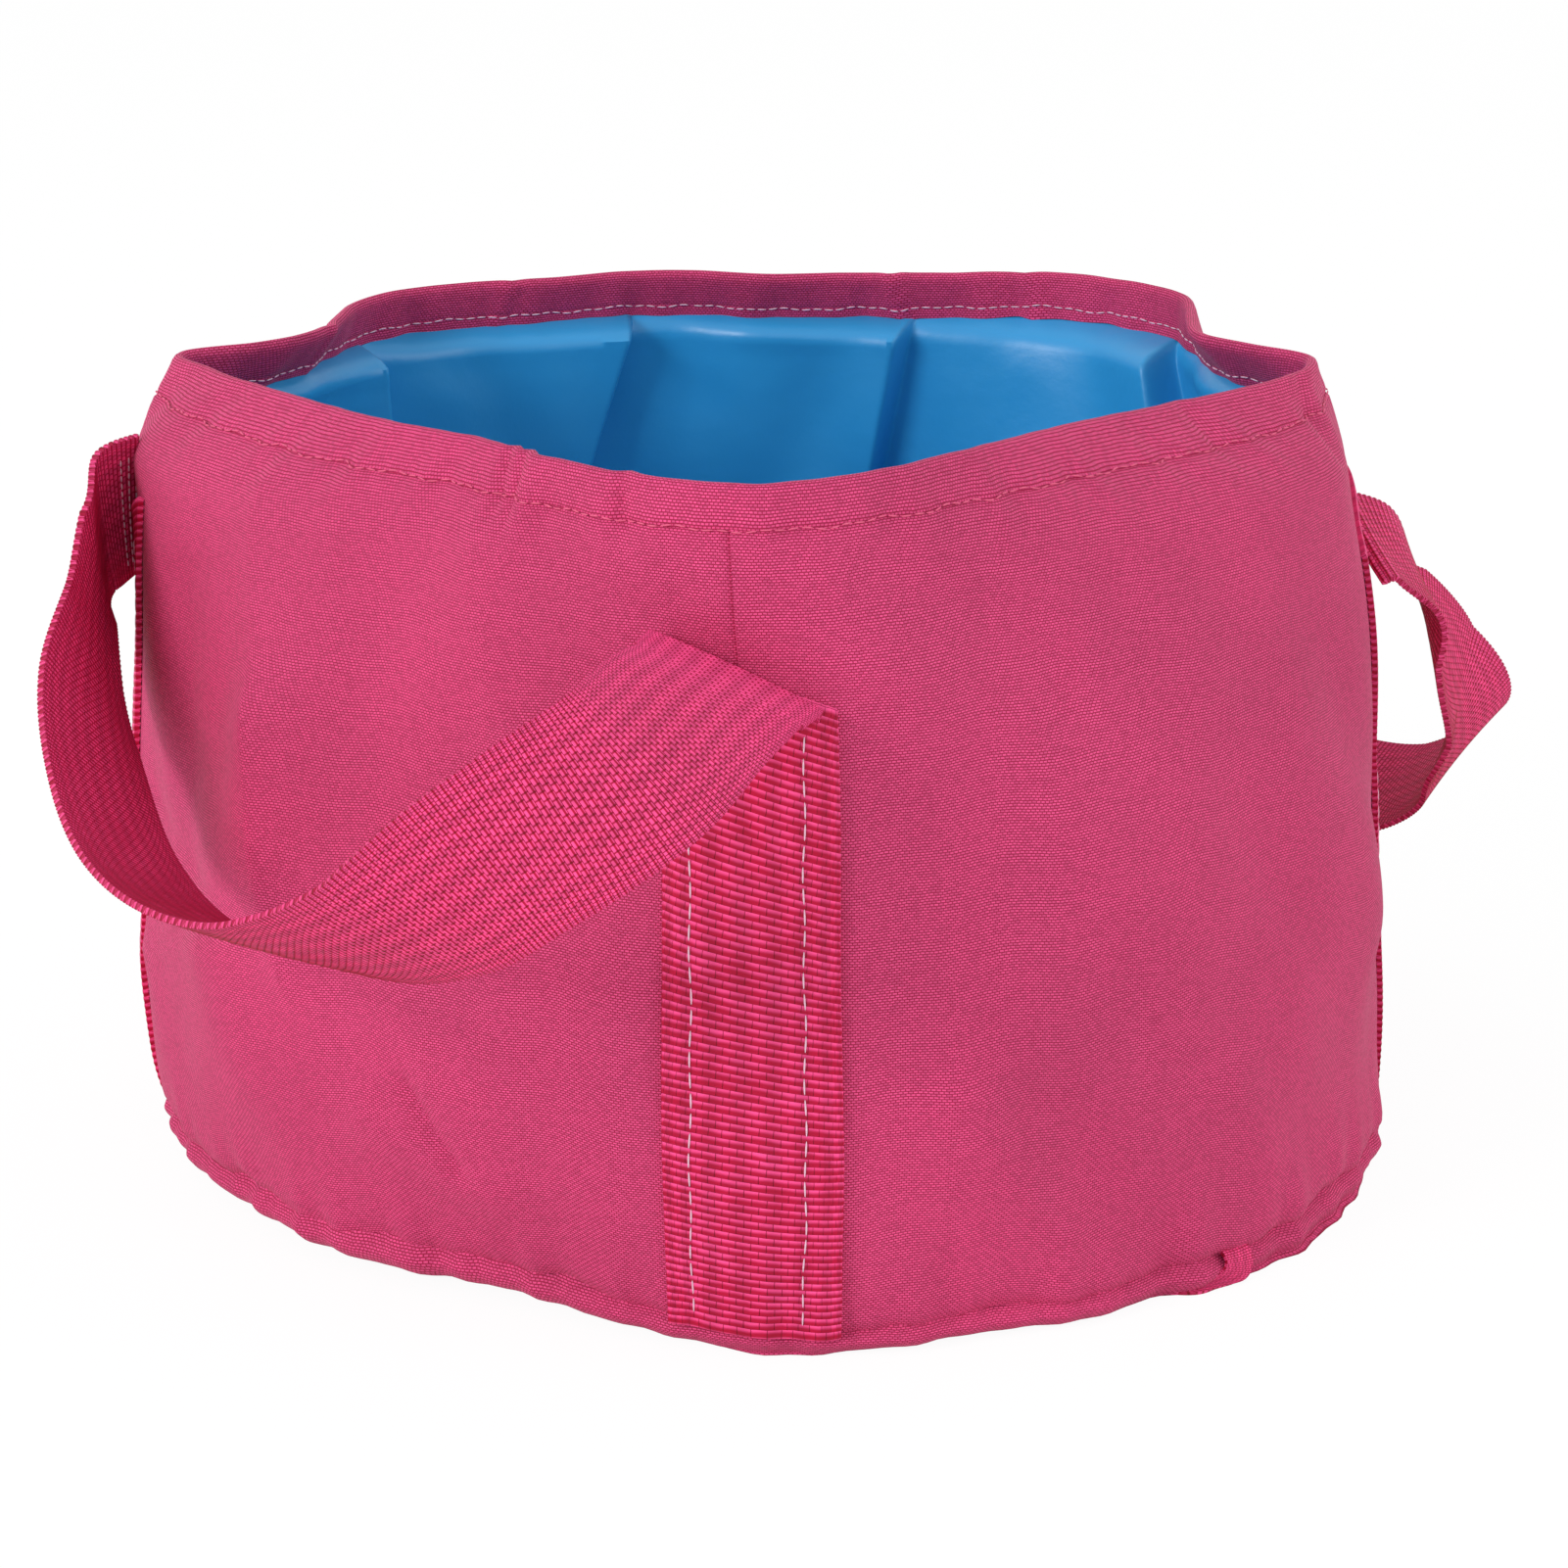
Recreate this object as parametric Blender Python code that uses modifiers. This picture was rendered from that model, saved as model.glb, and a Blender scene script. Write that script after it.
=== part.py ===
"""Collapsible camp bucket: a cloth shell and a film liner, hemmed together at the rim.

The frame is +Z up, with the origin on the floor at the middle of the base. The front webbing
strip faces -Y. Azimuths are in degrees, zero at the front and growing towards +X.
"""
import math

import bmesh
import bpy
import numpy as np
from mathutils import Vector

# Overall sizes
BUCKET_HEIGHT = 0.195
BUCKET_RADIUS = 0.150
SEAM_HEIGHT = 0.010
BAND_PUFF = 0.0025
BACK_RISE = 0.004

# Materials' thicknesses, and the gap that touching layers keep
CLOTH = 0.0008
FILM = 0.0004
WEBBING = 0.0016
TAPE = 0.0010
GAP = 0.0003

# Rim hem, turned over the top edge of the shell and the liner
HEM_OUTSIDE = 0.012
HEM_INSIDE = 0.013
HEM_EASE = 0.00095

# Webbing strips and handle loops
WEBBING_WIDTH = 0.038
HEAD_HEIGHT = 0.160
HEAD_SLOPE_RISE = 0.012
HEAD_STANDOFF = 0.0035
TURN_LENGTH = 0.016
LOOP_REACH = 0.074
LOOP_DROP = 0.100

# Narrow pull loop in the base seam
TAPE_WIDTH = 0.010
PULL_LOOP_LENGTH = 0.028
PULL_LOOP_AZIMUTH = 45.0

# Liner: how far the loose film hangs off the shell, and its pleats
FILM_SLACK = 0.005
PLEAT_DEPTH = 0.003
PLEAT_COUNT = 11

# Wall heights, as shares of the height between the base seam and the rim
SECTION_HEIGHT_SHARES = (0.0, 0.25, 0.87, 1.0)

# Wall outline: azimuth, then the radius at the base seam, belly, shoulder and rim,
# as shares of the bucket's radius. The rim is drawn to corners at the webbing strips,
# with nearly straight sides between them, and the base is round.
OUTLINE_SHARES = (
    (-172, 1.01, 1.05, 0.98, 0.91),
    (-165, 1.01, 1.05, 0.99, 0.93),
    (-155, 1.01, 1.05, 0.98, 0.92),
    (-145, 1.02, 1.06, 1.00, 0.96),
    (-136, 1.02, 1.07, 1.02, 0.98),
    (-129, 1.02, 1.07, 1.01, 0.95),
    (-121, 1.03, 1.06, 0.98, 0.88),
    (-113, 1.03, 1.06, 0.97, 0.85),
    (-105, 1.03, 1.06, 1.00, 0.90),
    (-99, 1.04, 1.06, 1.04, 0.99),
    (-90, 1.04, 1.06, 1.04, 0.90),
    (-78, 1.03, 1.04, 0.97, 0.79),
    (-64, 1.01, 1.03, 0.88, 0.72),
    (-52, 0.98, 1.05, 0.85, 0.69),
    (-38, 0.96, 1.01, 0.81, 0.68),
    (-24, 0.94, 1.00, 0.85, 0.75),
    (-11, 0.97, 1.02, 0.91, 0.83),
    (0, 1.01, 1.04, 0.94, 0.88),
    (11, 1.03, 1.05, 0.91, 0.82),
    (24, 1.03, 1.05, 0.86, 0.72),
    (38, 1.04, 1.06, 0.84, 0.66),
    (52, 1.04, 1.06, 0.86, 0.65),
    (66, 1.05, 1.07, 0.91, 0.70),
    (79, 1.06, 1.06, 0.97, 0.80),
    (90, 1.06, 1.06, 1.00, 0.93),
    (97, 1.05, 1.06, 1.01, 0.95),
    (105, 1.04, 1.06, 1.00, 0.88),
    (113, 1.03, 1.06, 0.97, 0.84),
    (122, 1.03, 1.06, 0.99, 0.92),
    (130, 1.02, 1.07, 1.03, 1.03),
    (138, 1.02, 1.07, 1.05, 1.06),
    (147, 1.02, 1.06, 1.04, 1.05),
    (158, 1.01, 1.05, 0.99, 0.95),
    (169, 1.01, 1.05, 0.96, 0.89),
    (180, 1.01, 1.05, 0.95, 0.86),
)

# Height of the base seam over its nominal height, and how far in the floor contact ends:
# azimuth, seam height share, contact share of the seam radius.
SEAM_SHARES = (
    (-150, 1.00, 0.90),
    (-90, 1.10, 0.88),
    (-60, 1.05, 0.84),
    (-25, 1.15, 0.76),
    (0, 0.60, 0.94),
    (40, 0.75, 0.93),
    (90, 0.80, 0.92),
    (150, 0.95, 0.90),
)

# Handle loops: azimuth, reach share beyond the strips, drop share below the heads and
# the roll of the webbing about its own line, in degrees from upright.
LEFT_LOOP_SHARES = (
    (0.0, -0.038, 0.00, 68.0),
    (-1.0, 0.22, -0.01, 66.0),
    (-2.5, 0.44, -0.01, 60.0),
    (-6.5, 0.83, 0.06, 40.0),
    (-12.5, 1.00, 0.21, -2.0),
    (-18.5, 0.94, 0.39, -44.0),
    (-26.0, 0.76, 0.51, -61.0),
    (-35.0, 0.58, 0.56, -65.0),
    (-44.5, 0.44, 0.56, -58.0),
    (-54.5, 0.30, 0.50, -45.0),
    (-64.5, 0.16, 0.39, -30.0),
    (-74.0, 0.08, 0.23, -6.0),
    (-84.0, 0.00, 0.075, 13.0),
    (-91.0, -0.025, -0.07, 26.0),
)
RIGHT_LOOP_SHARES = (
    (90.0, 0.02, 0.04, -68.0),
    (91.5, 0.13, 0.13, -60.0),
    (93.0, 0.20, 0.30, -46.0),
    (96.5, 0.38, 0.58, 8.0),
    (103.0, 0.43, 0.82, 56.0),
    (112.0, 0.39, 0.95, 62.0),
    (122.0, 0.34, 1.00, 55.0),
    (132.5, 0.31, 0.97, 49.0),
    (142.5, 0.31, 0.89, 48.0),
    (152.5, 0.30, 0.76, 48.0),
    (161.5, 0.26, 0.58, 43.0),
    (169.5, 0.22, 0.36, 26.0),
    (176.0, 0.15, 0.11, -4.0),
    (181.0, 0.05, -0.05, -20.0),
)

# Row of the outline at the front seam
FRONT_ROW = [row[0] for row in OUTLINE_SHARES].index(0)

# Fineness
WALL_ROWS = 10
RING_COLUMNS = 2 * len(OUTLINE_SHARES)
LOOP_STEPS = 48
STRAP_COLUMNS = 4

COLOURS = {
    "shell_cloth": ((0.66, 0.05, 0.16, 1.0), 0.85),
    "webbing": ((0.72, 0.02, 0.11, 1.0), 0.70),
    "film": ((0.02, 0.25, 0.55, 1.0), 0.35),
}


def spline(knots, values, places, period=0.0, held=False):
    """Smooth curve through values at knots; closed when a period is given.

    A held curve has no swing past its own values.
    """
    knots = np.array(knots, float)
    values = np.array(values, float)
    if period:
        knots = np.concatenate([knots[-2:] - period, knots, knots[:2] + period])
        values = np.concatenate([values[-2:], values, values[:2]])
        places = (np.asarray(places, float) - knots[2]) % period + knots[2]
    slopes = np.gradient(values, knots, axis=0)
    if held:
        rises = np.diff(values) / np.diff(knots)
        before, after = rises[:-1], rises[1:]
        turning = before * after <= 0.0
        total = np.where(turning, 1.0, before + after)
        slopes[1:-1] = np.where(turning, 0.0, 2.0 * before * after / total)
    places = np.clip(places, knots[0], knots[-1])
    i = np.clip(np.searchsorted(knots, places, side="right") - 1, 0, len(knots) - 2)
    span = knots[i + 1] - knots[i]
    u = (places - knots[i]) / span
    a, b, sa, sb = values[i], values[i + 1], slopes[i], slopes[i + 1]
    if values.ndim > 1:
        u = u[..., None]
        span = span[..., None]
    return (a * (2 * u**3 - 3 * u**2 + 1) + sa * span * (u**3 - 2 * u**2 + u)
            + b * (3 * u**2 - 2 * u**3) + sb * span * (u**3 - u**2))


def section_radii(azimuth):
    """Radii of the four wall sections at an azimuth."""
    table = np.array(OUTLINE_SHARES)
    return spline(table[:, 0], table[:, 1:], np.array([azimuth]), 360.0)[0] * BUCKET_RADIUS


def ring_azimuth(across):
    """Azimuth at a share of the way round; columns crowd where the outline turns sharply."""
    count = len(OUTLINE_SHARES)
    turns, row = divmod(across * count, count)
    rows = [shares[0] for shares in OUTLINE_SHARES]
    rows.append(rows[0] + 360.0)
    return float(np.interp(row, range(count + 1), rows)) + 360.0 * turns


def seam_height(azimuth):
    """Height of the seam between the wall and the base."""
    table = np.array(SEAM_SHARES)
    return float(spline(table[:, 0], table[:, 1], azimuth, 360.0)) * SEAM_HEIGHT


def contact_radius(azimuth):
    """Radius at which the base leaves the floor."""
    table = np.array(SEAM_SHARES)
    share = float(spline(table[:, 0], table[:, 2], azimuth, 360.0))
    return share * section_radii(azimuth)[0]


def rim_height(azimuth):
    """Height of the rim, which stands a little higher at the back."""
    back = 0.5 - 0.5 * math.cos(math.radians(azimuth))
    return BUCKET_HEIGHT + BACK_RISE * back**3


def polar(radius, azimuth, height):
    """Point at a radius, azimuth and height."""
    angle = math.radians(azimuth)
    return Vector((radius * math.sin(angle), -radius * math.cos(angle), height))


def wall_face(azimuth, share):
    """Point of the shell's outer face at a share of its height."""
    radius = float(spline(SECTION_HEIGHT_SHARES, section_radii(azimuth), share, held=True))
    low = seam_height(azimuth)
    return polar(radius, azimuth, low + share * (rim_height(azimuth) - low))


def on_wall(azimuth, share, out=0.0):
    """Point at a share of the wall's height, moved off the shell's outer face by out."""
    face = wall_face(azimuth, share)
    if not out:
        return face
    turn = 360.0 / RING_COLUMNS
    rise = 0.25 / WALL_ROWS
    along = wall_face(azimuth + turn, share) - wall_face(azimuth - turn, share)
    upwards = wall_face(azimuth, share + rise) - wall_face(azimuth, share - rise)
    return face + along.cross(upwards).normalized() * out


def share_at(azimuth, height):
    """Wall share that lies at a height."""
    low = seam_height(azimuth)
    return (height - low) / (rim_height(azimuth) - low)


def material(slot):
    """Principled material of a slot, made once."""
    found = bpy.data.materials.get(slot)
    if found:
        return found
    colour, roughness = COLOURS[slot]
    made = bpy.data.materials.new(slot)
    made.use_nodes = True
    shader = made.node_tree.nodes["Principled BSDF"]
    shader.inputs["Base Color"].default_value = colour
    shader.inputs["Roughness"].default_value = roughness
    shader.inputs["Metallic"].default_value = 0.0
    return made


def sheet(name, slot, collection, columns, rows, place, thick, side=-1.0, ring=False):
    """Cloth, film or webbing: a grid laid out by place(across, up), then given its thickness."""
    mesh = bpy.data.meshes.new(name)
    body = bmesh.new()
    bmesh.ops.create_grid(body, x_segments=columns, y_segments=rows, size=0.5)
    for vert in body.verts:
        vert.co = place(vert.co.x + 0.5, vert.co.y + 0.5)
    if ring:
        bmesh.ops.remove_doubles(body, verts=body.verts, dist=GAP / 10)
    bmesh.ops.recalc_face_normals(body, faces=body.faces)
    body.to_mesh(mesh)
    body.free()
    made = bpy.data.objects.new(name, mesh)
    collection.objects.link(made)
    mesh.materials.append(material(slot))
    mesh.shade_smooth()
    wall = made.modifiers.new("Thickness", "SOLIDIFY")
    wall.thickness = thick
    wall.offset = side
    return made


def face_out(made, away_from, first_row=False):
    """Turn the sheet's faces so that the middle one, or one of the first row, looks away."""
    faces = made.data.polygons
    chosen = faces[0 if first_row else len(faces) // 2]
    if chosen.normal.dot(chosen.center - away_from) < 0:
        made.data.flip_normals()
    return made


def shell_panel(name, collection, first, last):
    """Half of the shell's wall, between two rows of the outline; the front seam is at zero."""
    half_gap = math.degrees(GAP / BUCKET_RADIUS)

    def place(across, up):
        azimuth = ring_azimuth((first + (last - first) * across) / len(OUTLINE_SHARES))
        side = math.copysign(1.0, first + last - 2 * FRONT_ROW)
        azimuth = side * min(max(side * azimuth, half_gap), 180.0 - half_gap)
        top = share_at(azimuth, rim_height(azimuth) - HEM_OUTSIDE - GAP)
        bottom = share_at(azimuth, seam_height(azimuth) + GAP)
        return on_wall(azimuth, bottom + (top - bottom) * up)
    made = sheet(name, "shell_cloth", collection, 2 * (last - first), WALL_ROWS, place, CLOTH)
    return face_out(made, Vector((0.0, 0.0, BUCKET_HEIGHT / 2)))


def base_profile(azimuth, up):
    """Point of the base's underside, from the seam (0) round under the band to the middle (1)."""
    seam = section_radii(azimuth)[0]
    top = seam_height(azimuth) - GAP
    contact = contact_radius(azimuth)
    tuck = (seam - contact) / seam
    puff = BAND_PUFF * (1.0 - 6.0 * max(tuck - 0.08, 0.0))
    knot_shares = (0.0, 0.25, 0.5, 0.75, 1.0)
    height_shares = (1.0, 0.55, 0.12, 0.0, 0.0)
    radii = (seam, seam + puff, seam + 0.5 * puff - 0.25 * (seam - contact),
             contact, 0.0)
    heights = [top * share for share in height_shares]
    if up < knot_shares[3]:
        radius = float(spline(knot_shares[:4], radii[:4], up))
        height = max(float(spline(knot_shares[:4], heights[:4], up)), 0.0)
    else:
        radius = float(np.interp(up, knot_shares, radii))
        height = float(np.interp(up, knot_shares, heights))
    return radius, height


def shell_base(collection):
    """Round base of the shell: flat on the floor, puffed out and up to the wall's seam."""
    level_shares = (0.0, 0.12, 0.25, 0.37, 0.5, 0.62, 0.75, 0.88, 1.0)
    rows = len(level_shares) - 1

    def place(across, up):
        azimuth = ring_azimuth(across)
        radius, height = base_profile(azimuth, level_shares[round(up * rows)])
        return polar(radius, azimuth, height)
    made = sheet("shell_base", "shell_cloth", collection, 2 * RING_COLUMNS // 3, rows, place,
                 CLOTH, ring=True)
    return face_out(made, Vector((0.0, 0.0, BUCKET_HEIGHT)))


def film_slack(azimuth, share):
    """How far the free film hangs off the shell: pleated, and slack in the middle."""
    swell = math.sin(math.pi * min(max(share, 0.0), 1.0)) ** 0.6
    pleat = 0.5 + 0.5 * math.cos(math.radians(azimuth) * PLEAT_COUNT)
    return swell * (FILM_SLACK + PLEAT_DEPTH * pleat)


def liner_wall(collection):
    """Film wall of the liner, caught in the hem and welded to the film floor."""
    caught_rows = 2

    def place(across, up):
        azimuth = ring_azimuth(across)
        row = round(up * WALL_ROWS)
        floor = CLOTH + FILM + 2 * GAP
        hem = rim_height(azimuth) - HEM_INSIDE - FILM
        top = rim_height(azimuth) - 2 * (CLOTH + GAP)
        free = min(row / (WALL_ROWS - caught_rows), 1.0)
        caught = max(row - (WALL_ROWS - caught_rows), 0) / caught_rows
        height = floor + (hem - floor) * free + (top - hem) * caught
        held = on_wall(azimuth, max(share_at(azimuth, height), 0.0), -CLOTH - HEM_EASE)
        drawn = contact_radius(azimuth) - SEAM_HEIGHT / 2
        tuck = max(0.0, 1.0 - height / (2 * SEAM_HEIGHT)) ** 0.5
        shrink = 1.0 - film_slack(azimuth, free) / held.xy.length
        held.xy *= shrink * (1.0 - tuck) + min(drawn / held.xy.length, shrink) * tuck
        held.z = max(height, floor) if tuck else held.z
        return held
    made = sheet("liner_wall", "film", collection, RING_COLUMNS, WALL_ROWS, place, FILM, ring=True)
    return face_out(made, Vector((0.0, 0.0, BUCKET_HEIGHT / 2)))


def liner_floor(collection):
    """Film floor of the liner, flat over the base."""
    def place(across, up):
        azimuth = ring_azimuth(across)
        reach = contact_radius(azimuth) - SEAM_HEIGHT / 2
        return polar(reach * (1.0 - up), azimuth, CLOTH + GAP)
    made = sheet("liner_floor", "film", collection, 2 * RING_COLUMNS // 3, 2, place, FILM,
                 side=1.0, ring=True)
    return face_out(made, Vector((0.0, 0.0, -BUCKET_HEIGHT)))


def rim_hem(collection):
    """Top edge of the shell, turned in over the liner: outer layer, fold and inner layer."""
    pocket = CLOTH + FILM + 2 * HEM_EASE
    drop = (HEM_OUTSIDE, HEM_OUTSIDE / 2, 1.5 * CLOTH, 0.3 * CLOTH, 0.0, 0.3 * CLOTH,
            1.5 * CLOTH, HEM_INSIDE / 2, HEM_INSIDE)
    back = (0.0, 0.0, 0.0, 0.25 * pocket, 0.6 * pocket + CLOTH / 2, pocket + 0.75 * CLOTH,
            pocket + CLOTH, pocket + CLOTH, pocket + CLOTH)

    def place(across, up):
        azimuth = ring_azimuth(across)
        level = round(up * (len(drop) - 1))
        height = rim_height(azimuth) - drop[level]
        return on_wall(azimuth, share_at(azimuth, height), -back[level])
    made = sheet("rim_hem", "shell_cloth", collection, RING_COLUMNS, len(drop) - 1, place, CLOTH,
                 ring=True)
    return face_out(made, Vector((0.0, 0.0, BUCKET_HEIGHT - HEM_OUTSIDE)), first_row=True)


def strip_top(azimuth, lean):
    """Height of a strip's sloping top edge; lean is -1 to 1 across the webbing."""
    return HEAD_HEIGHT + HEAD_SLOPE_RISE / 2 * lean


def wall_strip(name, collection, azimuth, rising):
    """Webbing strip sewn up the wall, its top edge sloping up to one side."""
    def place(across, up):
        lean = 2.0 * across - 1.0
        middle = on_wall(azimuth, 0.5).xy.length
        turn = azimuth + math.degrees(WEBBING_WIDTH / 2 * lean / middle)
        low = seam_height(turn) + GAP
        high = strip_top(turn, lean * rising)
        height = low + (high - low) * up
        return on_wall(turn, share_at(turn, height), GAP)
    made = sheet(name, "webbing", collection, STRAP_COLUMNS, WALL_ROWS + 2, place, WEBBING,
                 side=1.0)
    return face_out(made, Vector((0.0, 0.0, BUCKET_HEIGHT / 2)))


def strip_face_radius(azimuth):
    """Radius of a strip's outer face at the heads."""
    return on_wall(azimuth, share_at(azimuth, HEAD_HEIGHT)).xy.length + GAP + WEBBING


def loop_line(shares):
    """Centre points and width directions of a handle loop, evenly spaced along it."""
    start, end = shares[0][0], shares[-1][0]
    points = []
    for azimuth, reach, drop, _roll in shares:
        along = (azimuth - start) / (end - start)
        root = (1 - along) * strip_face_radius(start) + along * strip_face_radius(end)
        radius = root + HEAD_STANDOFF + reach * LOOP_REACH
        points.append(polar(radius, azimuth, HEAD_HEIGHT - drop * LOOP_DROP))
    points = np.array([tuple(p) for p in points])
    rolls = np.array([row[3] for row in shares])
    steps = np.linalg.norm(np.diff(points, axis=0), axis=1)
    knots = np.concatenate([[0.0], np.cumsum(steps)])
    fine = np.linspace(0.0, knots[-1], 12 * LOOP_STEPS)
    smooth = spline(knots, points, fine)
    run = np.concatenate([[0.0], np.cumsum(np.linalg.norm(np.diff(smooth, axis=0), axis=1))])
    length = run[-1]
    even = np.linspace(0.0, length, LOOP_STEPS + 1)
    line = np.stack([np.interp(even, run, smooth[:, k]) for k in range(3)], axis=1)
    roll = spline(knots, rolls, np.interp(even, run, fine))
    tangent = np.gradient(line, axis=0)
    tangent /= np.linalg.norm(tangent, axis=1)[:, None]
    upright = np.array([0.0, 0.0, 1.0]) - tangent * tangent[:, 2:3]
    upright /= np.linalg.norm(upright, axis=1)[:, None]
    side = np.cross(tangent, upright)
    angle = np.radians(roll)[:, None]
    width = upright * np.cos(angle) + side * np.sin(angle)
    return line, width, length


def loop_piece(name, collection, shares, first, last, steps):
    """Part of a handle loop between two shares of its length."""
    line, width, _length = loop_line(shares)
    places = np.linspace(0.0, 1.0, len(line))

    def place(across, up):
        at = first + (last - first) * up
        centre = [float(np.interp(at, places, line[:, k])) for k in range(3)]
        lay = [float(np.interp(at, places, width[:, k])) for k in range(3)]
        return Vector(centre) + Vector(lay).normalized() * WEBBING_WIDTH * (across - 0.5)
    return sheet(name, "webbing", collection, STRAP_COLUMNS, steps, place, WEBBING, side=0.0)


def handle(name, ends, collection, shares):
    """A handle loop in three lengths: the swinging loop and the turn at each strip."""
    _line, _width, length = loop_line(shares)
    turn = TURN_LENGTH / length
    gap = GAP / length
    loop_piece(ends[0], collection, shares, 0.0, turn - gap, 4)
    loop_piece(name, collection, shares, turn, 1.0 - turn, LOOP_STEPS - 8)
    loop_piece(ends[1], collection, shares, 1.0 - turn + gap, 1.0, 4)
    print(name, "length", round(length, 4))


def base_pull_loop(collection):
    """Narrow tape loop out of the base seam, down the band and along the floor beside it."""
    seam = section_radii(PULL_LOOP_AZIMUTH)[0] + BAND_PUFF + TAPE + 4 * GAP
    turn = math.degrees(PULL_LOOP_LENGTH / seam)
    low = TAPE / 2 + GAP
    out = TAPE_WIDTH / 2

    def place(across, up):
        rise = abs(2.0 * up - 1.0)
        azimuth = PULL_LOOP_AZIMUTH - turn * up
        height = low + (seam_height(azimuth) + TAPE_WIDTH / 2) * max(rise - 0.6, 0.0) / 0.4
        lay = (across - 0.5) * TAPE_WIDTH
        flat = min(1.0, (1.0 - rise) / 0.4)
        radius = seam + out * flat * (0.5 + lay / TAPE_WIDTH * 2)
        side = math.degrees(lay * (1.0 - flat) / seam)
        return polar(radius, azimuth + side, height)
    return sheet("base_pull_loop", "webbing", collection, 2, 20, place, TAPE, side=0.0)


def remove_everything():
    """Start from an empty scene."""
    for found in list(bpy.data.objects):
        bpy.data.objects.remove(found)


def main():
    remove_everything()
    bucket = bpy.data.collections.new("collapsible_camp_bucket")
    bpy.context.scene.collection.children.link(bucket)
    shell_panel("shell_panel_right", bucket, FRONT_ROW, len(OUTLINE_SHARES) - 1)
    shell_panel("shell_panel_left", bucket, -1, FRONT_ROW)
    shell_base(bucket)
    liner_wall(bucket)
    liner_floor(bucket)
    rim_hem(bucket)
    wall_strip("front_strap", bucket, 0.0, -1.0)
    wall_strip("right_strap", bucket, 90.0, 1.0)
    wall_strip("back_strap", bucket, 180.0, -1.0)
    wall_strip("left_strap", bucket, -90.0, 1.0)
    handle("left_handle", ("left_handle_front_turn", "left_handle_side_turn"), bucket,
           LEFT_LOOP_SHARES)
    handle("right_handle", ("right_handle_side_turn", "right_handle_back_turn"), bucket,
           RIGHT_LOOP_SHARES)
    base_pull_loop(bucket)


main()
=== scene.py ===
"""Looks of the collapsible camp bucket: oxford shell, film liner, webbing strips and loops.

The frame is +Z up, with the origin on the floor at the middle of the base and the front
webbing strip at -Y. Azimuths are in degrees, zero at the front and growing towards +X.
"""
import math

import bpy
import numpy as np
from bpy.props import FloatProperty, FloatVectorProperty, PointerProperty
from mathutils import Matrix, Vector


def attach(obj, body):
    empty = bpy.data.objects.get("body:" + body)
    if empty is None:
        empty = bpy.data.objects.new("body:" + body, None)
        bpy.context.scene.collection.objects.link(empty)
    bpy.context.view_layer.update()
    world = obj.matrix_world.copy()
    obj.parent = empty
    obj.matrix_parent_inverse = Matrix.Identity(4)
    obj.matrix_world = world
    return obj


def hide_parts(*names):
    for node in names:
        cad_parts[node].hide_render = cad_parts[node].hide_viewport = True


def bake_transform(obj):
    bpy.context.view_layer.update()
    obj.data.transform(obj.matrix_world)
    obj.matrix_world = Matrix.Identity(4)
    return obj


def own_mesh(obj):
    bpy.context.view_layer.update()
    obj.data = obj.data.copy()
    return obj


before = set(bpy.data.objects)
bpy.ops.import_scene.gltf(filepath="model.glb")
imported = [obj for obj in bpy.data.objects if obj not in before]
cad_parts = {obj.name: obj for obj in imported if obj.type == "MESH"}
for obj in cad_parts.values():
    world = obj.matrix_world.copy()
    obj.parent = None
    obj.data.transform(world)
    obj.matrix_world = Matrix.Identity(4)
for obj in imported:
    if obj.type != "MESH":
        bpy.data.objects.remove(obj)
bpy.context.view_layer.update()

bl_info = {
    "name": "Collapsible Camp Bucket",
    "version": (1, 0, 0),
    "blender": (4, 5, 0),
    "location": "View3D > Sidebar > Bucket",
    "description": "Builds a sewn cloth bucket with a film liner and webbing handle loops",
    "category": "Object",
}

# Wall heights, as shares of the height between the base seam and the rim
SECTION_HEIGHT_SHARES = (0.0, 0.25, 0.87, 1.0)

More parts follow.
